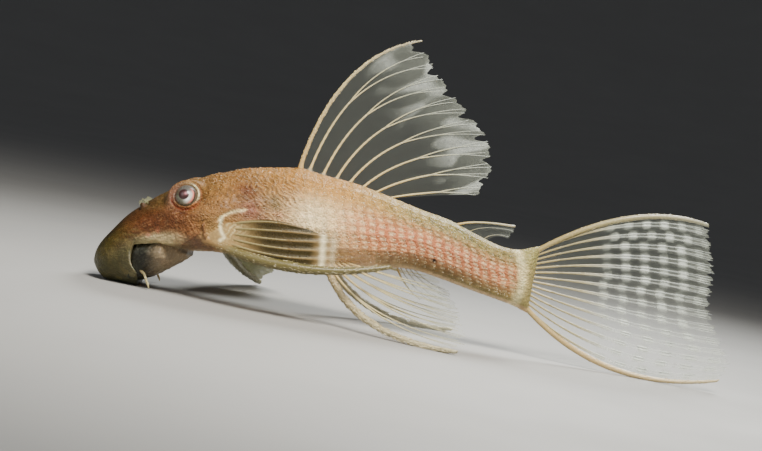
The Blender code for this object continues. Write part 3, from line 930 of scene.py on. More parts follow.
def add_fine_lines(paint, s):
    """The specks on the nape, and the lines of the shoulder, cheek and gill cover."""
    nape = between(s.x, 7, 10, 15, 18) * smooth(0.45, 0.65, s.height)
    dark = smooth(0.2, 1.4, ripple(s.points, 0.8, 14))
    pale = smooth(0.5, 1.6, ripple(s.points, 0.6, 15))
    paint.over(98, 62, 30, 0.34 * nape * dark)
    paint.over(196, 142, 80, 0.34 * nape * pale)
    stripe = lines_across(s, SHOULDER_LINES, 0.17)
    paint.over(92, 62, 36, 0.72 * s.shoulder() * smooth(0.0, 0.8, -stripe))
    paint.over(226, 190, 140, 0.2 * s.shoulder() * smooth(0.2, 0.9, stripe))
    add_patches(paint, s, SHOULDER_PATCHES)
    streaks = lines_across(s, CHEEK_LINES, 0.12)
    patchy = smooth(-0.3, 1.0, ripple(s.points, 1.1, 16))
    cheek = s.cheek() * patchy
    paint.over(84, 44, 22, 0.16 * cheek * smooth(0.1, 0.9, -streaks))
    paint.over(214, 166, 112, 0.22 * cheek * smooth(0.3, 1.0, streaks))
    paint.over(248, 224, 168, 0.8 * s.near(SHOULDER_LINE, 0.17))
    paint.over(255, 244, 200, 0.95 * s.near(SHOULDER_BRANCH, 0.18))
    paint.over(104, 58, 36, 0.55 * s.near(GILL_LINE, 0.12))
    paint.over(96, 60, 46, 0.6 * s.near(GILL_OPENING, 0.16))
    opercle = hump(np.hypot(s.x - 8.3, (s.z - 8.4) * 1.1), 1.6) * s.flank
    rings = smooth(0.2, 1.0, s.gill_rings())
    paint.over(120, 66, 36, 0.3 * opercle * rings)


def add_snout_tones(paint, s):
    """The olive skin over the mouth, and its pale edge at the mouth's corner."""
    snout = s.over_mouth
    paint.over(76, 72, 42, 0.75 * smooth(0.2, 1.2, snout))
    paint.over(72, 78, 64, 0.7 * smooth(2.6, 4.4, snout))
    fine = np.sin(46 * np.arctan2(s.z - 7.0, 6.5 - s.x) + ripple(s.points, 1.5, 35))
    near_lip = between(s.x, -3.2, -2.0, 1.2, 3.0) * (s.height < 0.5)
    paint.over(110, 98, 58, 0.4 * near_lip * smooth(0.2, 1.0, fine))
    edge = hump(s.x - CORNER_X - 0.02, 0.1) * smooth(0.6, 1.4, snout)
    broken = between(s.lowered, 1.5, 2.2, 4.0, 4.6)
    broken = broken * (0.55 + 0.45 * smooth(-0.6, 0.6, ripple(s.points, 1.0, 36)))
    paint.over(200, 198, 172, 0.75 * edge * broken)
    inner = smooth(CORNER_X + 0.1, CORNER_X + 0.25, s.x) * smooth(0.1, 0.6, snout)
    paint.over(46, 40, 30, 0.8 * inner)


def add_eye_rim(paint, around, rear, up):
    """The cream crescent behind the eye, a painted highlight on the lid's rim, the rusty fold below it
    and painted shade in the socket under the eyeball.
    """
    rear_half = smooth(0.2, 0.9, rear)
    below = smooth(0.0, 0.6, -up)
    front = smooth(0.1, 0.8, -rear) * smooth(-0.9, -0.4, up)
    paint.over(108, 72, 56, 0.75 * hump(around - 1.6, 0.42) * front)
    above = smooth(0.3, 0.9, up)
    paint.over(120, 100, 74, 0.5 * hump(around - 1.6, 0.3) * above)
    # The rim band: behind and above the eye it is a painted highlight on the lid's rim, below the eye
    # it carries the orange skin of the fold.
    rim_band = hump(around - 1.56, 0.15) * smooth(0.2, 0.8, rear + 0.25 * up)
    paint.over(255, 240, 190, 0.95 * rim_band * (1 - 0.85 * below))
    paint.over(206, 122, 64, 0.8 * rim_band * below)
    paint.over(112, 46, 22, 0.85 * hump(around - 1.84, 0.15) * below)
    paint.over(128, 68, 28, 0.75 * hump(around - 1.86, 0.14) * rear_half)
    # Painted shade in the socket under the eyeball.
    paint.over(84, 56, 40, 0.85 * (1 - smooth(1.36, 1.48, around)))


def add_plate_tones(paint, s):
    """Cream spines in rows on salmon plates, and olive specks along the back."""
    tail = s.plated * smooth(23, 30, s.x)
    low = smooth(0.06, 0.2, s.height)
    ticks = between(s.phase, 0.3, 0.55, 0.9, 1.0) * (0.1 + 0.9 * s.tick_rows())
    middle = hump(s.height - 0.5, 0.28)
    uneven = 0.55 + 0.45 * smooth(-0.8, 0.8, ripple(s.points, 0.8, 13))
    paint.over(184, 98, 66, 0.6 * tail * middle * (1 - ticks))
    paint.over(112, 92, 50, 0.4 * s.plated * (1 - middle) * (1 - ticks) * low)
    top = 1 - 0.92 * smooth(0.7, 0.88, s.height)
    shown = tail * ticks * (0.4 + 0.6 * middle) * top * low * uneven
    paint.over(240, 214, 170, 0.75 * shown)
    olive = tail * between(s.height, 0.6, 0.75, 0.9, 0.99)
    speck = smooth(0.2, 0.9, ripple(s.points, 0.6, 12))
    paint.over(78, 76, 40, 0.6 * olive * speck * smooth(26, 36, s.x))
    x, z, width = DARK_DOT
    dot = hump(np.hypot(s.x - x, s.z - z), width) * (s.y < 0)
    paint.over(24, 16, 12, 0.95 * np.clip(1.6 * dot, 0, 1))


def snout_over_mouth(points, s):
    """Draws the lower half of the snout down over the front of the mouth, and notes in
    s how far each point went (over_mouth) and its new height (lowered)."""
    edge = spline([(float(nose_scale(x)), z) for x, z in SNOUT_EDGE])(nose_scale(s.x.ravel()))
    edge = edge.reshape(s.x.shape)
    share = np.clip((s.level - points[..., 2]) / (s.level - s.under + 1e-6), 0, 1.1)
    front = 1 - smooth(CORNER_X - 0.02, CORNER_X + 0.32, s.x)
    drop = np.maximum(s.under - edge, 0) * share**1.15 * front
    s.over_mouth = drop
    moved = points - drop[..., None] * np.array((0, 0, 1))
    s.lowered = moved[..., 2]
    heights, leans = np.array(CORNER_LEAN).T
    lean = np.interp(moved[..., 2], heights, leans) * smooth(-1.2, CORNER_X, s.x)
    moved[..., 0] += lean * smooth(0.15, 0.6, drop) * front**0.5
    lip = hump(s.x - CORNER_X + 0.05, 0.1) * smooth(0.3, 1.0, drop) * front
    return moved + s.normals * (0.06 * lip)[..., None]


def make_skin(material):
    xs, angles = skin_xs(), skin_angles()
    s = Skin(xs, angles)
    points = s.points + s.normals * skin_relief(s)[..., None]
    socket = []
    points = snout_over_mouth(points, s)
    for side in (LEFT, RIGHT):
        points, *place = orbit(points, side)
        socket.append(place)
    colour, grain = skin_tones(s, socket)
    rows, columns = s.x.shape
    shape = Shape()
    faces = grid_faces(rows, columns, True)[:, ::-1]
    shape.add(points, faces, colour.reshape(-1, 3), grain.ravel())
    shape.close(0, columns, points[0].mean(0), colour[0].mean(0), 0.4)
    tail_ring = (rows - 1) * columns
    shape.close(tail_ring, columns, points[-1].mean(0), colour[-1].mean(0), 0.4, turned=True)
    skin = shape.piece("skin", material)
    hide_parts("head", "trunk", "tail")
    return s, points, colour


# The eyes.


def eye_tones(angle, rear, up):
    """The colours of the eyeball, with a painted glint and a painted highlight on the pupil, by the
    angle from its gaze and the way round it.
    """
    turn = np.arctan2(up, rear)
    base = np.zeros_like(rear)[..., None]
    paint = Paint(tone(86, 76, 60) + base)
    paint.over(112, 112, 94, smooth(-0.3, 0.6, -up))
    paint.over(92, 90, 86, smooth(0.2, 0.9, up))
    paint.over(118, 84, 74, 0.85 * smooth(0.3, 0.9, -rear) * smooth(0.7, 0.95, angle))
    streaks = 0.5 + 0.5 * np.sin(23 * turn + 2.2 * np.sin(5 * turn) + 3 * angle)
    paint.over(62, 58, 42, 0.6 * streaks * hump(angle - 0.8, 0.3))
    bright = smooth(0.25, 1.0, rear - 0.4 * up) * smooth(0.92, 0.74, angle)
    paint.over(206, 204, 190, 0.9 * bright)
    # A painted white glint beside the pupil.
    glint = np.clip(hump(turn + 0.7, 0.45) * hump(angle - 0.52, 0.1), 0, 1)
    paint.over(255, 255, 255, glint)
    pink = hump(angle - 0.8, 0.09) * smooth(0.3, 0.9, rear)
    paint.over(226, 120, 104, 0.85 * pink)
    dark = hump(angle - 0.98, 0.08) * smooth(0.4, 0.85, rear + 0.25 * up)
    paint.over(40, 26, 24, 0.95 * dark)
    paint.over(46, 18, 18, smooth(0.46, 0.4, angle))
    paint.over(82, 52, 50, 0.8 * hump(angle, 0.22))
    # A painted pink highlight on the pupil.
    pupil_highlight = hump(np.hypot(angle * rear - 0.15, angle * up - 0.09), 0.1)
    paint.over(212, 138, 146, 0.9 * pupil_highlight)
    paint.over(170, 112, 84, smooth(1.2, 1.45, angle))
    return paint.colour


def make_eyes(material):
    for side, name in ((LEFT, "left"), (RIGHT, "right")):
        centre = np.array(EYE_CENTRE) * (1, side, 1)
        gaze = look(side, GAZE_UP, GAZE_BACK)
        aside = unit(np.cross(gaze, (0, 0, 1)))
        upward = np.cross(aside, gaze)
        upward *= np.sign(upward[2])
        aside *= np.sign(aside[0])
        away = np.linspace(0.0, math.pi, EYE_RINGS + 1)[1:-1]
        turn = np.linspace(0, 2 * math.pi, EYE_RINGS, endpoint=False)
        if side == LEFT:
            turn = turn[::-1]
        a, t = np.meshgrid(away, turn, indexing="ij")
        bulge = EYE_RADIUS * (1 + CORNEA_RISE * hump(a, 0.6))
        ring = np.cos(t)[..., None] * aside + np.sin(t)[..., None] * upward
        way = np.cos(a)[..., None] * gaze + np.sin(a)[..., None] * ring
        points = centre + bulge[..., None] * way
        colour = eye_tones(a, np.cos(t), np.sin(t)).reshape(-1, 3)
        shape = Shape()
        columns = len(turn)
        shape.add(points, grid_faces(len(away), columns, True), np.clip(colour, 0, 1))
        last = (len(away) - 1) * columns
        front = centre + EYE_RADIUS * (1 + CORNEA_RISE) * gaze
        shape.close(0, columns, front, colour[0], turned=True)
        shape.close(last, columns, centre - EYE_RADIUS * gaze, colour[last])
        eye = shape.piece("eyeball_" + name, material)
        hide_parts("eye_" + name)


# The sucker mouth.


def make_lips(material):
    """The mouth's disc. Its front lies inside the snout's skin."""
    lip_line = spline(LIP_STATIONS)
    front, back = LIP_STATIONS[0][0], LIP_STATIONS[-1][0]
    xs = front + (back - front) * (1 - np.cos(np.linspace(0.04, 0.97, 84) * math.pi)) / 2
    under, half = lip_line(xs).T
    _, skin_under, skin_half, _ = body_spline(nose_scale(xs)).T
    hidden = smooth(1.9, 0.9, xs)[:, None]
    top = skin_under + 1.5 - 0.9 * hidden[:, 0]
    level, tall = (top + under) / 2, np.maximum((top - under) / 2, 0.2)
    angle = np.linspace(-math.pi / 2, 1.5 * math.pi, 112, endpoint=False)[None, :]
    reach = (np.abs(np.cos(angle)) ** 2.8 + np.abs(np.sin(angle)) ** 2.8) ** (-1 / 2.8)
    y = half[:, None] * reach * np.cos(angle) * (1 - 0.12 * hidden)
    z = level[:, None] + tall[:, None] * reach * np.sin(angle) + 0.14 * hidden
    flare = np.clip(0.93 * skin_half / np.maximum(half, 1.5) - 1, 0, 0.3)
    flare = flare * (1 - smooth(5.0, 7.0, xs))
    y = y * (1 + flare[:, None] * smooth(2.5, 4.5, z) * (1 - hidden))
    x = np.broadcast_to(xs[:, None], y.shape)
    points = np.stack([x, -y, z], -1)
    normals = grid_normals(points)
    high = 0.03 * ripple(points, 0.8, 30) + 0.02 * ripple(points, 0.45, 31)
    points = points + normals * (high * (1 - hidden))[..., None]
    mx, _, mz = MOUTH_CENTRE
    rx, ry, rz = MOUTH_RADII
    bowl = 1 - ((x - mx) / rx) ** 2 - (points[..., 1] / ry) ** 2
    roof = mz + rz * np.sqrt(np.maximum(bowl, 0)) - 0.4
    hollow = (bowl > 0) & (np.sin(angle) < 0)
    points[..., 2] = np.where(hollow, np.maximum(points[..., 2], roof), points[..., 2])
    points[..., 2] = np.maximum(points[..., 2], 0.0)
    paint = Paint(tone(40, 40, 30) + 0 * points)
    paint.over(158, 138, 108, smooth(3.0, 6.2, x))
    pale = smooth(0.9, 1.7, ripple(points, 0.4, 33)) * (1 - smooth(3.2, 5.0, x))
    paint.over(106, 106, 90, 0.3 * pale)
    dark = smooth(0.4, 1.3, ripple(points, 0.5, 34)) * (1 - smooth(3.5, 5.5, x))
    paint.over(22, 20, 16, 0.7 * dark)
    corner = smooth(5.6, 4.9, z) * smooth(3.0, 4.2, z) * smooth(5.0, 7.0, x)
    paint.over(170, 150, 120, 0.5 * corner)
    paint.over(180, 140, 126, 0.8 * hollow)
    # Painted shadow: a dark line along the top of the lip's rear edge, where the head overhangs it.
    edge = line_distance(x, z, ((7.3, 5.5), (8.6, 5.0)))
    paint.over(38, 28, 20, 0.75 * hump(edge, 0.24))
    colour = paint.colour
    shape = Shape()
    rows, columns = x.shape
    shape.add(points, grid_faces(rows, columns, True), np.clip(colour, 0, 1).reshape(-1, 3))
    shape.close(0, columns, points[0].mean(0), colour[0].mean(0), turned=True)
    shape.close((rows - 1) * columns, columns, points[-1].mean(0), colour[-1].mean(0))
    for side in (LEFT, RIGHT):
        share = np.linspace(0, 1, BARBEL_STEPS)[:, None]
        shades = tone(92, 80, 56) * (1 - share) + tone(206, 192, 138) * share
        line = np.array(BARBEL) * (1, side, 1)
        add_round_tube(shape, line, BARBEL_RADII, shades, BARBEL_STEPS)
    lips = shape.piece("sucker_mouth", material)
    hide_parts("lips", "barbel_left", "barbel_right")


# The fins.


class Fan:
    """A fan of curved rays: where they start, bend and end, each a smooth line."""

    def __init__(self, roots, bends, tips):
        self.lines = [
            spline([(k / (len(line) - 1), *point) for k, point in enumerate(line)])
            for line in (roots, bends, tips)
        ]

    def place(self, share, along):
        """Points at shares across the fan and shares along the rays."""
        share = np.asarray(share, float)
        root, bend, tip = (line(share.ravel()) for line in self.lines)
        t = np.asarray(along, float).ravel()[:, None]
        flat = root * (1 - t) ** 2 + 2 * bend * t * (1 - t) + tip * t * t
        return flat.reshape(*share.shape, 3)

    def across(self, share, along):
        """How the place moves with the share across the fan."""
        ahead = np.minimum(share + 1e-3, 1)
        behind = np.maximum(share - 1e-3, 0)
        move = self.place(ahead, along) - self.place(behind, along)
        return move / (ahead - behind)[..., None]

    def outward(self, share, along):
        """The unit normal of the fan's surface."""
        lengthways = self.place(share, along + 1e-3) - self.place(share, along - 1e-3)
        return unit(np.cross(self.across(share, along), lengthways))


def on_back(xs):
    return [(x, 0.0, float(body_spline(nose_scale(x))[0][0]) - SUNK) for x in xs]


def under_belly(xs):
    return [(x, 0.0, float(body_spline(nose_scale(x))[0][1]) + SUNK) for x in xs]


def dorsal_fan():
    return Fan(
        roots=on_back((19.4, 22.5, 25.5, 28.5, 31.4)),
        bends=((21.5, 0, 33.1), (25.4, 0, 29.4), (29.2, 0, 25.6), (33.0, 0, 21.8), (36.6, 0, 17.9)),
        tips=(
            (31.7, 0, 36.5),
            (34.5, 0, 32.9),
            (38.2, 0.2, 29.6),
            (41.8, 0.3, 26.4),
            (43.4, 0.3, 22.8),
            (42.3, 0.2, 18.9),
        ),
    )


def adipose_fan():
    return Fan(
        roots=on_back((39.8, 42.0, 44.2)),
        bends=((42.0, 0, 15.9), (43.6, 0, 15.4), (45.2, 0, 14.6)),
        tips=((47.5, 0, 16.0), (47.5, 0, 15.2), (46.9, 0, 14.2)),
    )


def anal_fan():
    return Fan(
        roots=under_belly((33.6, 34.8, 35.9)),
        bends=((35.0, 0, 5.9), (36.6, 0, 6.2), (38.0, 0, 6.9)),
        tips=((37.5, 0, 4.6), (39.8, 0, 4.7), (41.3, 0, 5.4), (41.0, 0, 6.4)),
    )


def caudal_fan():
    return Fan(
        roots=((50.4, 0, 13.5), (50.4, 0, 9.75), (50.4, 0, 6.0)),
        bends=((61.2, 0, 22.4), (61.5, 0.3, 10.3), (61.8, 0, -3.0)),
        tips=(
            (71.3, 1.6, 20.7),
            (72.6, 1.2, 17.3),
            (73.4, 0.8, 13.6),
            (73.6, 0.5, 10.2),
            (75.8, 0.3, 6.4),
            (77.4, 0.1, 3.8),
            (76.0, 0, 1.4),
        ),
    )


def pectoral_fan(side):
    """The left fin is folded back along the flank, the right one braced outwards."""
    if side == LEFT:
        return Fan(
            roots=((10.5, -8.3, 7.4), (11.4, -8.3, 8.6), (12.3, -8.1, 9.7)),
            bends=((21.1, -12.2, 3.8), (19.6, -10.9, 7.9), (17.4, -9.9, 12.5)),
            tips=(
                (33.4, -9.3, 8.5),
                (31.5, -9.1, 9.4),
                (29.0, -9.0, 10.2),
                (25.8, -9.0, 10.8),
                (22.4, -8.9, 11.1),
            ),
        )
    return Fan(
        roots=((10.5, 8.3, 7.4), (11.4, 8.3, 8.6), (12.3, 8.1, 9.7)),
        bends=((10.6, 17.0, 3.1), (13.8, 16.2, 5.8), (16.6, 12.8, 9.0)),
        tips=(
            (15.8, 28.0, 0.3),
            (17.3, 26.8, 2.0),
            (18.9, 23.6, 4.0),
            (20.4, 19.4, 6.1),
            (21.2, 15.2, 8.1),
        ),
    )


def pelvic_fan(side):
    return Fan(
        roots=((24.6, side * 4.9, 7.5), (26.2, side * 4.7, 7.6), (27.6, side * 4.4, 7.8)),
        bends=((29.3, side * 9.9, -1.1), (31.8, side * 8.6, 3.9), (33.6, side * 6.8, 7.7)),
        tips=(
            (42.4, side * 13.6, 0.3),
            (43.4, side * 12.9, 1.0),
            (43.5, side * 11.7, 2.3),
            (42.7, side * 10.2, 4.0),
            (41.0, side * 8.6, 5.8),
            (39.3, side * 7.4, 7.2),
        ),
    )


class Fin:
    """What one fin looks like: its fan, its rays and their colours.

    name, fan: what it is called and where it is
    rays, ends: how many branched rays, and the shares of the first and the last
    spines: 1 for a stout ray at the front edge, 2 for one at each edge
    splits, twigs: how far along the rays branch, and where the branches part again
    spine_widths, ray_widths: half widths at root, middle and tip
    fork: how far the branches part, as a share of the space between rays
    tones, edge_tones: rows of (share along, red, green, blue, alpha), for the rays and
    for the stout ray at each edge
    root_tone: the colour of the fleshy web at the root
    web, fleshy, notch: the kind of web, its fleshy share, and how deep its edge is cut
    """

    def __init__(self, name, fan, **given):
        self.name, self.fan = name, fan
        self.spines, self.notch, self.fleshy, self.fork = 1, 0.02, 0.03, 0.26
        self.web = "clear"
        self.edge_tones = (given["tones"],) * 2
        self.root_tone = given["tones"][0][1:4]
        self.__dict__.update(given)
        first, last = self.ends
        self.centres = np.linspace(first, last, self.rays)
        self.pitch = (last - first) / max(self.rays - 1, 1)
        middle = fan.place(np.full(2, 0.5), np.array([0.0, 1.0]))
        self.length = float(np.linalg.norm(middle[1] - middle[0]))
        self.start = -0.5 / self.length
        self.random = np.random.default_rng(len(name) * 7 + self.rays)
        self.shifts = self.random.uniform(-0.2, 0.2, self.rays)

    def split(self, k):
        first, last = self.splits
        return first + (last - first) * k / max(self.rays - 1, 1)

    def wide(self, widths, along):
        root, middle, tip = widths
        return np.interp(along, (0, 0.04, 0.5, 1), (root * 1.5, root, middle, tip))

    def edge(self, along, last=False):
        """The share at which a stout ray lies just inside the fan's edge."""
        side = np.full(np.shape(along), float(last))
        room = np.linalg.norm(self.fan.across(side, along), axis=-1)
        inset = np.minimum(self.wide(self.spine_widths, along) / room, 0.12)
        return 1 - inset if last else inset

    def nearest(self, share):
        """The nearest ray to each share, and how many ray spacings away it is."""
        k = np.clip(np.round((share - self.ends[0]) / self.pitch), 0, self.rays - 1).astype(int)
        return k, (share - self.centres[k]) / self.pitch

    def milk(self, share, along):
        """How milky the fin is, from 0 to 1: rows of blobs along the outer rays."""
        k, away = self.nearest(share)
        phase = along * self.length / BLOB_PITCH + self.shifts[k]
        blob = smooth(-0.2, 0.8, np.cos(2 * math.pi * phase))
        begin = 0.3 + 0.12 * np.abs(share - 0.45)
        outer = smooth(begin, begin + 0.14, along) * (1 - 0.75 * smooth(0.82, 0.98, along))
        uneven = 0.75 + 0.25 * np.sin(5.3 * k + 2.1 * np.floor(phase + 0.5))
        return hump(away, 0.34) * blob * outer * uneven

    def band_place(self, points):
        """The place along the fish, slanted as the bands across the left pectoral are."""
        return points[..., 0] + 0.12 * (points[..., 2] - 9)

    def bands(self, points):
        """The pale bands across the left pectoral fin, from 0 to 1."""
        x = self.band_place(points)
        bands = sum(strength * hump(x - place, width) for place, width, strength in BANDS)
        return np.clip(bands, 0, 1) * (self.web == "dusky")


BLOB_PITCH = 2.42
CREAM = (222, 200, 142)
MILK = (214, 220, 212)
CLEAR = (190, 196, 182)
BAND = (238, 226, 184)
# The bands across the left pectoral fin: place, half width, strength.
BANDS = ((24.7, 0.34, 0.85), (26.0, 0.4, 0.45))
RAY_STEP = 0.25
WEB_STEP = 0.2
WEB_COLUMNS = 14


def ray_tone(rows, along):
    """The colour of the rays and how solid it is, at shares along them."""
    rows = np.array(rows, float)
    shades = np.array([tone(*row[1:4]) for row in rows])
    colour = np.stack([np.interp(along, rows[:, 0], shades[:, k]) for k in range(3)], -1)
    return colour, np.interp(along, rows[:, 0], rows[:, 4])


def add_ray(shape, fin, start, end, share_at, scale=1.0, stout=None):
    """One length of a ray, from start to end along it, with its half width scaled. A
    stout ray brings its own rows of colours."""
    widths = fin.ray_widths if stout is None else fin.spine_widths
    steps = max(int((end - start) * fin.length / RAY_STEP), 6)
    along = np.linspace(start, end, steps)
    share = share_at(along)
    centres = fin.fan.place(share, along)
    edge = unit(fin.fan.across(share, along))
    normal = fin.fan.outward(share, along)
    colour, alpha = ray_tone(fin.tones if stout is None else stout, along)
    wide = scale * fin.wide(widths, along)
    if stout is None:
        wide = wide * (1 + 0.12 * np.cos(2 * math.pi * along * fin.length / 0.7))
    if stout is None and fin.web == "dusky":
        beyond = smooth(25.6, 27.0, fin.band_place(centres))
        colour = blend(colour, tone(132, 86, 50), 0.85 * beyond)
        alpha = alpha * (1 - 0.62 * beyond)
    elif stout is None and fin.web == "blobs":
        milk = fin.milk(share, along)
        outer = smooth(0.32, 0.56, along)
        colour = blend(colour, tone(*MILK), 0.8 * outer)
        alpha = alpha * (1 - outer) + outer * (0.22 + 0.7 * milk)
        wide = wide * (1 + 0.5 * milk)
    band = fin.bands(centres) * (stout is None)
    colour = blend(colour, tone(*BAND), 0.6 * band)
    alpha = np.maximum(alpha, 0.8 * band)
    add_tube(shape, centres, edge, normal, wide, 0.78 * wide, colour, alpha, 8)


def make_rays(fin, material, replaced):
    """The stout rays at the fin's edges, and the rays that branch twice."""
    shape = Shape()
    for last in (False, True)[: fin.spines]:
        stout = fin.edge_tones[last]
        add_ray(shape, fin, fin.start, 1.0, lambda t: fin.edge(t, last), stout=stout)
    for k, centre in enumerate(fin.centres):
        split = fin.split(k)
        twig = fin.twigs + 0.06 * fin.random.uniform(-1, 1)
        room = min(1.0, (1 - centre) / fin.pitch / 0.36)
        add_ray(shape, fin, fin.start, split, lambda t: centre + 0 * t)
        for side in (-1, 1):
            fork = side * fin.fork * fin.pitch * (room if side > 0 else 1)

            def branch(t):
                return centre + fork * np.clip((t - split) / (1 - split), 0, 1) ** 0.75

            add_ray(shape, fin, split - 0.015, twig, branch, 0.8)
            for lesser in (-1, 1):
                reach = fin.random.uniform(0.955, 1.0)

                def twiglet(t):
                    apart = np.clip((t - twig) / (1 - twig), 0, 1)
                    return np.minimum(branch(t) + lesser * 0.1 * fin.pitch * apart, 1)

                add_ray(shape, fin, twig - 0.01, reach, twiglet, 0.62)
    rays = shape.piece(fin.name + "_rays", material)
    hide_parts(replaced)


def web_look(fin, share, t, points, flesh):
    """The web's colour and how solid it is."""
    _, away = fin.nearest(share)
    colour = blend(tone(*CLEAR) + 0 * points, tone(*fin.root_tone), smooth(0.1, 0.9, flesh))
    alpha = 0.035 + 0.03 * smooth(0.5, 1.0, t) + 0.96 * flesh
    if fin.web == "blobs":
        milk = fin.milk(share, t)
        colour = blend(colour, tone(*MILK), 0.95 * milk)
        veil = 0.5 + 0.5 * np.cos(2 * math.pi * away)
        alpha = alpha + 0.05 * veil * smooth(0.3, 0.5, t) + 0.55 * milk
    elif fin.web == "cloudy":
        grid = np.stack([1.3 * share / fin.pitch, t * fin.length / 3.2, 0 * t], -1)
        cloud = smooth(0.1, 1.3, ripple(grid, 1.0, 40)) * smooth(0.5, 0.85, t)
        colour = blend(colour, tone(*MILK), cloud)
        alpha = alpha + 0.2 * cloud + 0.04 * smooth(0.6, 0.9, t)
    elif fin.web == "dusky":
        x = fin.band_place(points)
        inner = 1 - smooth(24.9, 26.6, x)
        # Painted shadow: the web darkens further back and is nearly solid inside the bands, standing
        # for the shade between the folded fin and the flank seen through the clear web.
        dark = smooth(13.4, 18.6, x + 0.9 * share) * (1 - 0.5 * smooth(23.0, 24.4, x))
        dark = dark * (1 - 0.6 * hump(away, 0.1))
        shade = blend(tone(158, 130, 84) + 0 * points, tone(50, 43, 22), 0.97 * dark)
        grains = smooth(-0.4, 1.0, ripple(points, 0.45, 41))
        cream = hump(np.hypot(points[..., 0] - 13.7, points[..., 2] - 9.3), 1.3)
        shade = blend(shade, tone(222, 204, 150), 0.7 * cream * grains)
        branch = hump(line_distance(points[..., 0], points[..., 2], SHOULDER_BRANCH), 0.19)
        shade = blend(shade, tone(250, 236, 190), 0.9 * branch)
        colour = blend(tone(150, 112, 74) + 0 * points, shade, inner)
        alpha = 0.1 + 0.86 * inner
        band = fin.bands(points)
        colour = blend(colour, tone(*BAND), band)
        alpha = np.maximum(alpha, (0.4 + 0.35 * grains) * band)
    elif fin.web == "olive":
        colour = blend(colour, tone(144, 143, 98), 1 - flesh)
        alpha = 0.95 - 0.25 * smooth(0.7, 1.0, t)
    return np.clip(colour, 0, 1), np.clip(alpha, 0, 1)


def make_web(fin, material):
    """The skin between the rays: thick and fleshy at the root, glass clear beyond."""
    columns = WEB_COLUMNS * (fin.rays + fin.spines) + 1
    rows = max(int(fin.length / WEB_STEP), 30)
    across, along = np.meshgrid(np.linspace(0, 1, columns), np.linspace(0, 1, rows))
    low = fin.edge(along)
    high = fin.edge(along, True) if fin.spines == 2 else np.ones_like(along)
    share = low + (high - low) * across
    _, away = fin.nearest(share)
    ragged = 0.008 * np.sin(share / fin.pitch * 11.0) + 0.006 * np.sin(share / fin.pitch * 29.0 + 1)
    reach = 0.985 - fin.notch * smooth(0.28, 0.5, np.abs(away)) + ragged
    t = fin.start + (reach - fin.start) * along
    middle, normal = fin.fan.place(share, t), fin.fan.outward(share, t)
    flare = fin.fleshy * (0.25 + 1.1 * (1 - np.clip(2 * np.abs(away), 0, 1)) ** 2)
    if fin.web in ("dusky", "olive"):
        flare = fin.fleshy + 0 * away
    flesh = 1 - smooth(0.0, 1.0, t / (flare + 1e-6))
    half = 0.03 + 0.42 * flesh
    wave = 0.05 * np.sin(2 * math.pi * share / fin.pitch) * smooth(0.1, 0.5, t)
    middle = middle + normal * wave[..., None]
    colour, alpha = web_look(fin, share, t, middle, flesh)
    alpha = np.clip(alpha + 0.06 * smooth(0.965, 1.0, along), 0, 1)
    shape = Shape()
    add_sheet(shape, middle, normal * half[..., None], colour, alpha)
    shape.piece(fin.name + "_web", material)


def add_sheet(shape, middle, half, colour, alpha):
    """A closed sheet: a grid of points moved half its thickness to each side."""
    rows, columns = middle.shape[:2]
    other = rows * columns
    sheet = np.concatenate([(middle + half).reshape(-1, 3), (middle - half).reshape(-1, 3)])
    faces = grid_faces(rows, columns)
    rim = list(range(columns)) + [r * columns + columns - 1 for r in range(1, rows)]
    rim += [(rows - 1) * columns + c for c in range(columns - 2, -1, -1)]
    rim += [r * columns for r in range(rows - 2, 0, -1)]
    joined = [(b, a, other + a, other + b) for a, b in zip(rim, rim[1:] + rim[:1])]
    faces = np.concatenate([faces, faces[:, ::-1] + other, joined])
    shape.add(sheet, faces, np.tile(colour.reshape(-1, 3), (2, 1)), np.tile(alpha.ravel(), 2))


# Rows of (share along, red, green, blue, alpha) for the rays and the stout rays.
RAY_TONES = ((0, *CREAM, 1.0), (0.45, 206, 192, 146, 0.9), (0.75, 190, 192, 168, 0.7), (1, *MILK, 0.45))
SPINE_TONES = ((0, 200, 170, 112, 1.0), (0.5, 196, 180, 132, 1.0), (1, 170, 162, 134, 1.0))
CAUDAL_TONES = ((0, 170, 152, 100, 0.8), (0.3, 176, 166, 124, 0.8), (0.55, *MILK, 0.5), (1, *MILK, 0.3))
CAUDAL_EDGES = (
    ((0, 166, 146, 92, 1.0), (0.4, 160, 150, 108, 1.0), (1, 150, 148, 124, 1.0)),
    ((0, 176, 152, 98, 1.0), (0.4, 186, 160, 110, 1.0), (1, 190, 174, 134, 1.0)),
)
DUSKY_TONES = ((0, 164, 126, 78, 1.0), (0.2, 136, 122, 78, 1.0), (1, 140, 126, 84, 1.0))
DUSKY_EDGE = (
    (0, 156, 120, 72, 1.0),
    (0.16, 104, 93, 50, 1.0),
    (0.6, 98, 90, 48, 1.0),
    (1, 106, 96, 58, 1.0),
)
FAR_TONES = ((0, 150, 118, 74, 1.0), (0.2, 136, 128, 84, 1.0), (1, 132, 128, 90, 0.9))
PELVIC_TONES = ((0, 196, 168, 112, 1.0), (0.4, 206, 190, 140, 0.95), (1, 190, 188, 158, 0.55))
PELVIC_EDGE = ((0, 176, 152, 108, 1.0), (0.5, 172, 160, 124, 1.0), (1, 180, 172, 140, 1.0))
FAINT_TONES = ((0, 196, 180, 132, 0.45), (1, *MILK, 0.2))


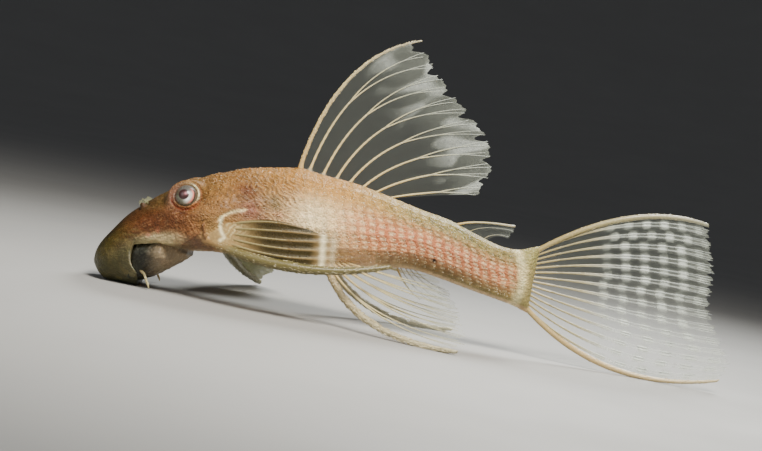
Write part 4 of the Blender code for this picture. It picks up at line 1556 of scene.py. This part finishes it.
def all_fins():
    """Every fin and the solid that it replaces."""
    dorsal = Fin(
        "dorsal",
        dorsal_fan(),
        rays=7,
        ends=(0.122, 0.975),
        splits=(0.42, 0.58),
        twigs=0.78,
        spine_widths=(0.27, 0.2, 0.1),
        ray_widths=(0.17, 0.12, 0.055),
        tones=RAY_TONES,
        edge_tones=(SPINE_TONES,),
        root_tone=(172, 126, 66),
        web="cloudy",
        fleshy=0.032,
        notch=0.06,
    )
    caudal = Fin(
        "caudal",
        caudal_fan(),
        rays=14,
        spines=2,
        ends=(1 / 16, 15 / 16),
        splits=(0.15, 0.15),
        fork=0.2,
        twigs=0.72,
        spine_widths=(0.4, 0.36, 0.26),
        ray_widths=(0.15, 0.1, 0.07),
        tones=CAUDAL_TONES,
        edge_tones=CAUDAL_EDGES,
        web="blobs",
        fleshy=0.03,
        notch=0.02,
    )
    adipose = Fin(
        "adipose",
        adipose_fan(),
        rays=2,
        ends=(0.45, 0.9),
        splits=(0.9, 0.9),
        twigs=0.96,
        fork=0.02,
        spine_widths=(0.26, 0.2, 0.14),
        ray_widths=(0.06, 0.05, 0.03),
        tones=FAINT_TONES,
        edge_tones=(SPINE_TONES,),
    )
    anal = Fin(
        "anal",
        anal_fan(),
        rays=4,
        ends=(0.25, 0.92),
        splits=(0.5, 0.6),
        twigs=0.8,
        spine_widths=(0.16, 0.12, 0.07),
        ray_widths=(0.1, 0.08, 0.04),
        tones=FAINT_TONES,
        edge_tones=(SPINE_TONES,),
    )
    fins = [(fin, fin.name + "_fin") for fin in (dorsal, caudal, adipose, anal)]
    for side, name in ((LEFT, "left"), (RIGHT, "right")):
        pectoral = Fin(
            "pectoral_" + name,
            pectoral_fan(side),
            rays=5,
            ends=(0.3, 0.96),
            splits=(0.5, 0.6),
            twigs=0.8,
            spine_widths=(0.5, 0.72, 0.36),
            ray_widths=(0.19, 0.13, 0.06),
            tones=DUSKY_TONES if side == LEFT else FAR_TONES,
            edge_tones=(DUSKY_EDGE if side == LEFT else FAR_TONES,),
            web="dusky" if side == LEFT else "olive",
            root_tone=(160, 130, 84),
            fleshy=0.2,
        )
        pelvic = Fin(
            "pelvic_" + name,
            pelvic_fan(side),
            rays=5,
            ends=(0.24, 0.95),
            splits=(0.3, 0.4),
            twigs=0.72,
            spine_widths=(0.42, 0.42, 0.28),
            ray_widths=(0.17, 0.12, 0.06),
            tones=PELVIC_TONES,
            edge_tones=(PELVIC_EDGE,),
            fleshy=0.05,
            notch=0.05,
        )
        fins += [(pectoral, "pectoral_fin_" + name), (pelvic, "pelvic_fin_" + name)]
    return fins


# The odontodes: small tooth-like spines on the plates and the stout rays.

# How many spines each mm of a stout ray has, and how long they are.
BRISTLES = {"dorsal": (16, 0.9), "caudal": (16, 0.9), "pectoral": (34, 1.4), "pelvic": (34, 1.9)}
CONE_SIDES = 5

def add_odontodes(shape, places, along, out, lengths, radii, shade, mapped):
    """Small cones that lie along the surface and point back."""
    aside = unit(np.cross(along, out))
    up = np.cross(aside, along)
    turn = np.linspace(0, 2 * math.pi, CONE_SIDES, endpoint=False)
    rings = places[:, None] + radii[:, None, None] * (
        np.cos(turn)[None, :, None] * aside[:, None] + np.sin(turn)[None, :, None] * up[:, None]
    )
    tips = places + along * lengths[:, None]
    count = len(places)
    points = np.concatenate([rings, tips[:, None]], 1).reshape(-1, 3)
    k = np.arange(CONE_SIDES)
    one = np.stack([k, (k + 1) % CONE_SIDES, np.full(CONE_SIDES, CONE_SIDES)], 1)
    corners = CONE_SIDES + 1
    faces = (one[None] + corners * np.arange(count)[:, None, None]).reshape(-1, 3)
    patch = 0.0014 * np.concatenate([np.stack([np.cos(turn), np.sin(turn)], 1), [(0.0, 0.0)]])
    place = (mapped[:, None] + patch[None]).reshape(-1, 2)
    shape.add(points, faces, np.repeat(shade, corners, 0), 1.0, place)


def make_odontodes(s, points, colour, material):
    """Rows of spines on the bony plates, crowded towards each plate's rear edge."""
    random = np.random.default_rng(11)
    normals = grid_normals(points)
    back = unit(np.gradient(points, axis=0))
    rows, columns = s.x.shape
    area = np.linalg.norm(
        np.cross(np.gradient(points, axis=0), np.gradient(points, axis=1)), axis=-1
    )
    density = s.plated * (1.0 + 22 * smooth(0.5, 0.8, s.phase) * s.tick_rows())
    density *= 1 - 0.93 * smooth(50, 74, s.angle)
    head = between(s.x, 6, 11, 13, 15) * smooth(0.3, 0.55, s.height)
    density = density + 2.5 * head
    keep = random.random(area.shape) < area * density
    r, c = np.nonzero(keep)
    length = random.uniform(0.16, 0.3, len(r)) * (0.4 + 0.6 * s.plated[r, c])
    along = unit(back[r, c] + normals[r, c] * random.uniform(0.12, 0.4, (len(r), 1)))
    pale = 0.25 + 0.5 * s.plated[r, c] * smooth(16, 26, s.x[r, c])
    shade = blend(1.15 * colour[r, c], tone(255, 240, 206), pale)
    mapped = np.stack([0.01 + 0.98 * r / rows, 0.01 + 0.98 * c / columns], 1)
    shape = Shape()
    radius = 0.03 + 0.12 * length
    out = normals[r, c]
    add_odontodes(shape, points[r, c] - 0.02 * out, along, out, length, radius, shade, mapped)
    shape.piece("plate_odontodes", material, mapped=True)


def make_spine_odontodes(fins, material):
    """Bristly spines along the stout rays of the paired and median fins."""
    random = np.random.default_rng(17)
    shape = Shape()
    for number, (fin, _) in enumerate(fins):
        kind = fin.name.split("_")[0]
        if kind not in BRISTLES:
            continue
        dense, long = BRISTLES[kind]
        count = int(fin.length * dense)
        t = random.uniform(0.04, 0.99, count)
        share = fin.edge(t)
        if fin.spines == 2:
            share[::2] = fin.edge(t[::2], True)
        centres = fin.fan.place(share, t)
        forward = unit(fin.fan.place(share, t + 0.01) - centres)
        edge = unit(fin.fan.across(share, t))
        normal = fin.fan.outward(share, t)
        turn = random.uniform(0, 2 * math.pi, (count, 1))
        out = np.cos(turn) * edge + np.sin(turn) * normal
        wide = fin.wide(fin.spine_widths, t)[:, None]
        base = centres + wide * (np.cos(turn) * edge + 0.7 * np.sin(turn) * normal) * 0.94
        along = unit(forward + out * random.uniform(0.2, 0.5, (count, 1)))
        length = random.uniform(0.18, 0.34, count) * long * (0.7 + 0.5 * t)
        length *= 1 - 0.75 * smooth(0.93, 1.0, t)
        shades, _ = ray_tone(fin.edge_tones[0], t)
        if fin.spines == 2:
            shades[::2], _ = ray_tone(fin.edge_tones[1], t[::2])
        shade = blend(shades, tone(240, 224, 182), random.uniform(0.0, 0.4, count))
        mapped = np.stack([0.02 + 0.96 * t, 0.05 + 0.1 * number + 0.0 * t], 1)
        add_odontodes(shape, base, along, out, length, 0.035 + 0.1 * length, shade, mapped)
    shape.piece("spine_odontodes", material, mapped=True)


def make_nostril_flaps(material):
    """A thin upright leaf of skin on the inner side of each nostril."""
    shape = Shape()
    for side in (LEFT, RIGHT):
        place, normal = skin_frame(NOSTRIL_X, NOSTRIL_ANGLE, side)
        back = unit(np.array((1.0, 0, 0)) - normal * normal[0])
        inward = np.cross(normal, back)
        inward *= -side * np.sign(inward[1])
        over, up = np.meshgrid(np.linspace(-1, 1, 25), np.linspace(0, 1, 15))
        round_top = np.sqrt(1 - 0.94 * np.abs(over) ** 3)
        tall = -0.2 + (1.05 * round_top + 0.06 * np.sin(7 * over)) * up
        length = 0.52 * over * (1 + 0.18 * up) + 0.12 * up
        bend = 0.3 + 0.12 * np.cos(math.pi * over / 2) + 0.12 * up**2
        points = (
            place
            + length[..., None] * back
            + bend[..., None] * inward
            + tall[..., None] * normal
        )
        thick = grid_normals(points, False) * (0.06 * (1.2 - up))[..., None]
        shade = blend(tone(110, 84, 50) + 0 * points, tone(158, 158, 118), smooth(0.1, 0.7, up))
        add_sheet(shape, points, thick, shade, 0.5 - 0.28 * up)
    shape.piece("nostril_flaps", material)


# The stage.

FLOOR_PALE = (0.34, 0.335, 0.325)
FLOOR_SHADE = (0.315, 0.31, 0.3)
FLOOR_FLAT = 430
FLOOR_REACH = 1500
FLOOR_RISE = 0.0005
FLOOR_MIDDLE_X = 31
FLOOR_SIDES = 96


def make_floor():
    """A pale floor that is flat round the fish and rises slowly further out."""
    radii = np.linspace(FLOOR_FLAT, FLOOR_REACH, 40)
    turn = np.linspace(0, 2 * math.pi, FLOOR_SIDES, endpoint=False)
    rise = FLOOR_RISE * (radii - FLOOR_FLAT) ** 2
    points = np.stack([
        FLOOR_MIDDLE_X + radii[:, None] * np.cos(turn),
        radii[:, None] * np.sin(turn),
        np.broadcast_to(rise[:, None], (len(radii), FLOOR_SIDES)),
    ], -1)
    mesh = bpy.data.meshes.new("floor")
    faces = grid_faces(len(radii), FLOOR_SIDES, True).tolist()
    faces.append(list(range(FLOOR_SIDES))[::-1])
    mesh.from_pydata((points.reshape(-1, 3) * MM).tolist(), [], faces)
    mesh.shade_smooth()
    mesh.materials.append(floor_material())
    floor = bpy.data.objects.new("floor", mesh)
    bpy.context.scene.collection.objects.link(floor)
    floor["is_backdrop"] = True


def add_light(name, place, aim, size, power, colour, spread):
    light = bpy.data.lights.new(name, "AREA")
    light.shape = "DISK"
    light.size = size * MM
    light.energy = power
    light.color = colour
    light.spread = math.radians(spread)
    obj = bpy.data.objects.new(name, light)
    obj.location = Vector(place) * MM
    toward = (Vector(aim) - Vector(place)).normalized()
    obj.rotation_mode = "QUATERNION"
    obj.rotation_quaternion = toward.to_track_quat("-Z", "Y")
    bpy.context.scene.collection.objects.link(obj)


def make_lights():
    add_light("key", (85, -150, 230), (28, -6, 8), 120, 0.25, (1.0, 0.96, 0.88), 62)
    add_light("fill", (-150, -170, 110), (15, 0, 8), 180, 0.03, (0.95, 0.98, 1.0), 80)
    add_light("rim", (110, 170, 170), (45, 0, 12), 110, 0.15, (0.98, 1.0, 0.97), 70)
    world = bpy.data.worlds.new("studio")
    world.use_nodes = True
    background = world.node_tree.nodes["Background"]
    background.inputs["Color"].default_value = (0.92, 0.95, 1.0, 1)
    background.inputs["Strength"].default_value = 0.11
    bpy.context.scene.world = world


def make_camera():
    lift, roll = math.radians(VIEW_ELEVATION), math.radians(VIEW_ROLL)
    level_up = Vector((0, math.sin(lift), math.cos(lift)))
    right = Vector((1, 0, 0)) * math.cos(roll) + level_up * math.sin(roll)
    up = level_up * math.cos(roll) - Vector((1, 0, 0)) * math.sin(roll)
    back = Vector((0, -math.cos(lift), math.sin(lift)))
    away = MM_PER_PIXEL * FRAME_WIDTH * LENS / SENSOR
    camera = bpy.data.cameras.new("camera")
    camera.lens = LENS
    camera.sensor_width = SENSOR
    camera.sensor_fit = "HORIZONTAL"
    camera.clip_start = 0.01
    obj = bpy.data.objects.new("camera", camera)
    turn = Matrix((right, up, back)).transposed().to_4x4()
    obj.matrix_world = Matrix.Translation((Vector(VIEW_CENTRE) + back * away) * MM) @ turn
    bpy.context.scene.collection.objects.link(obj)
    bpy.context.scene.camera = obj


def main():
    cad_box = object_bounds()
    make_camera()
    make_lights()
    make_floor()
    skin = skin_material()
    s, points, colour = make_skin(skin)
    make_eyes(eye_material())
    make_lips(lip_material())
    fins = all_fins()
    rays, web, spine = ray_material(), web_material(), spine_material()
    make_nostril_flaps(web)
    for fin, replaced in fins:
        make_rays(fin, rays, replaced)
        make_web(fin, web)
    make_odontodes(s, points, colour, spine)
    make_spine_odontodes(fins, spine)
    boxes = {"cad": cad_box, "visual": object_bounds()}
    for key, (low, high) in boxes.items():
        boxes[key] = [list(low), list(high)]


main()
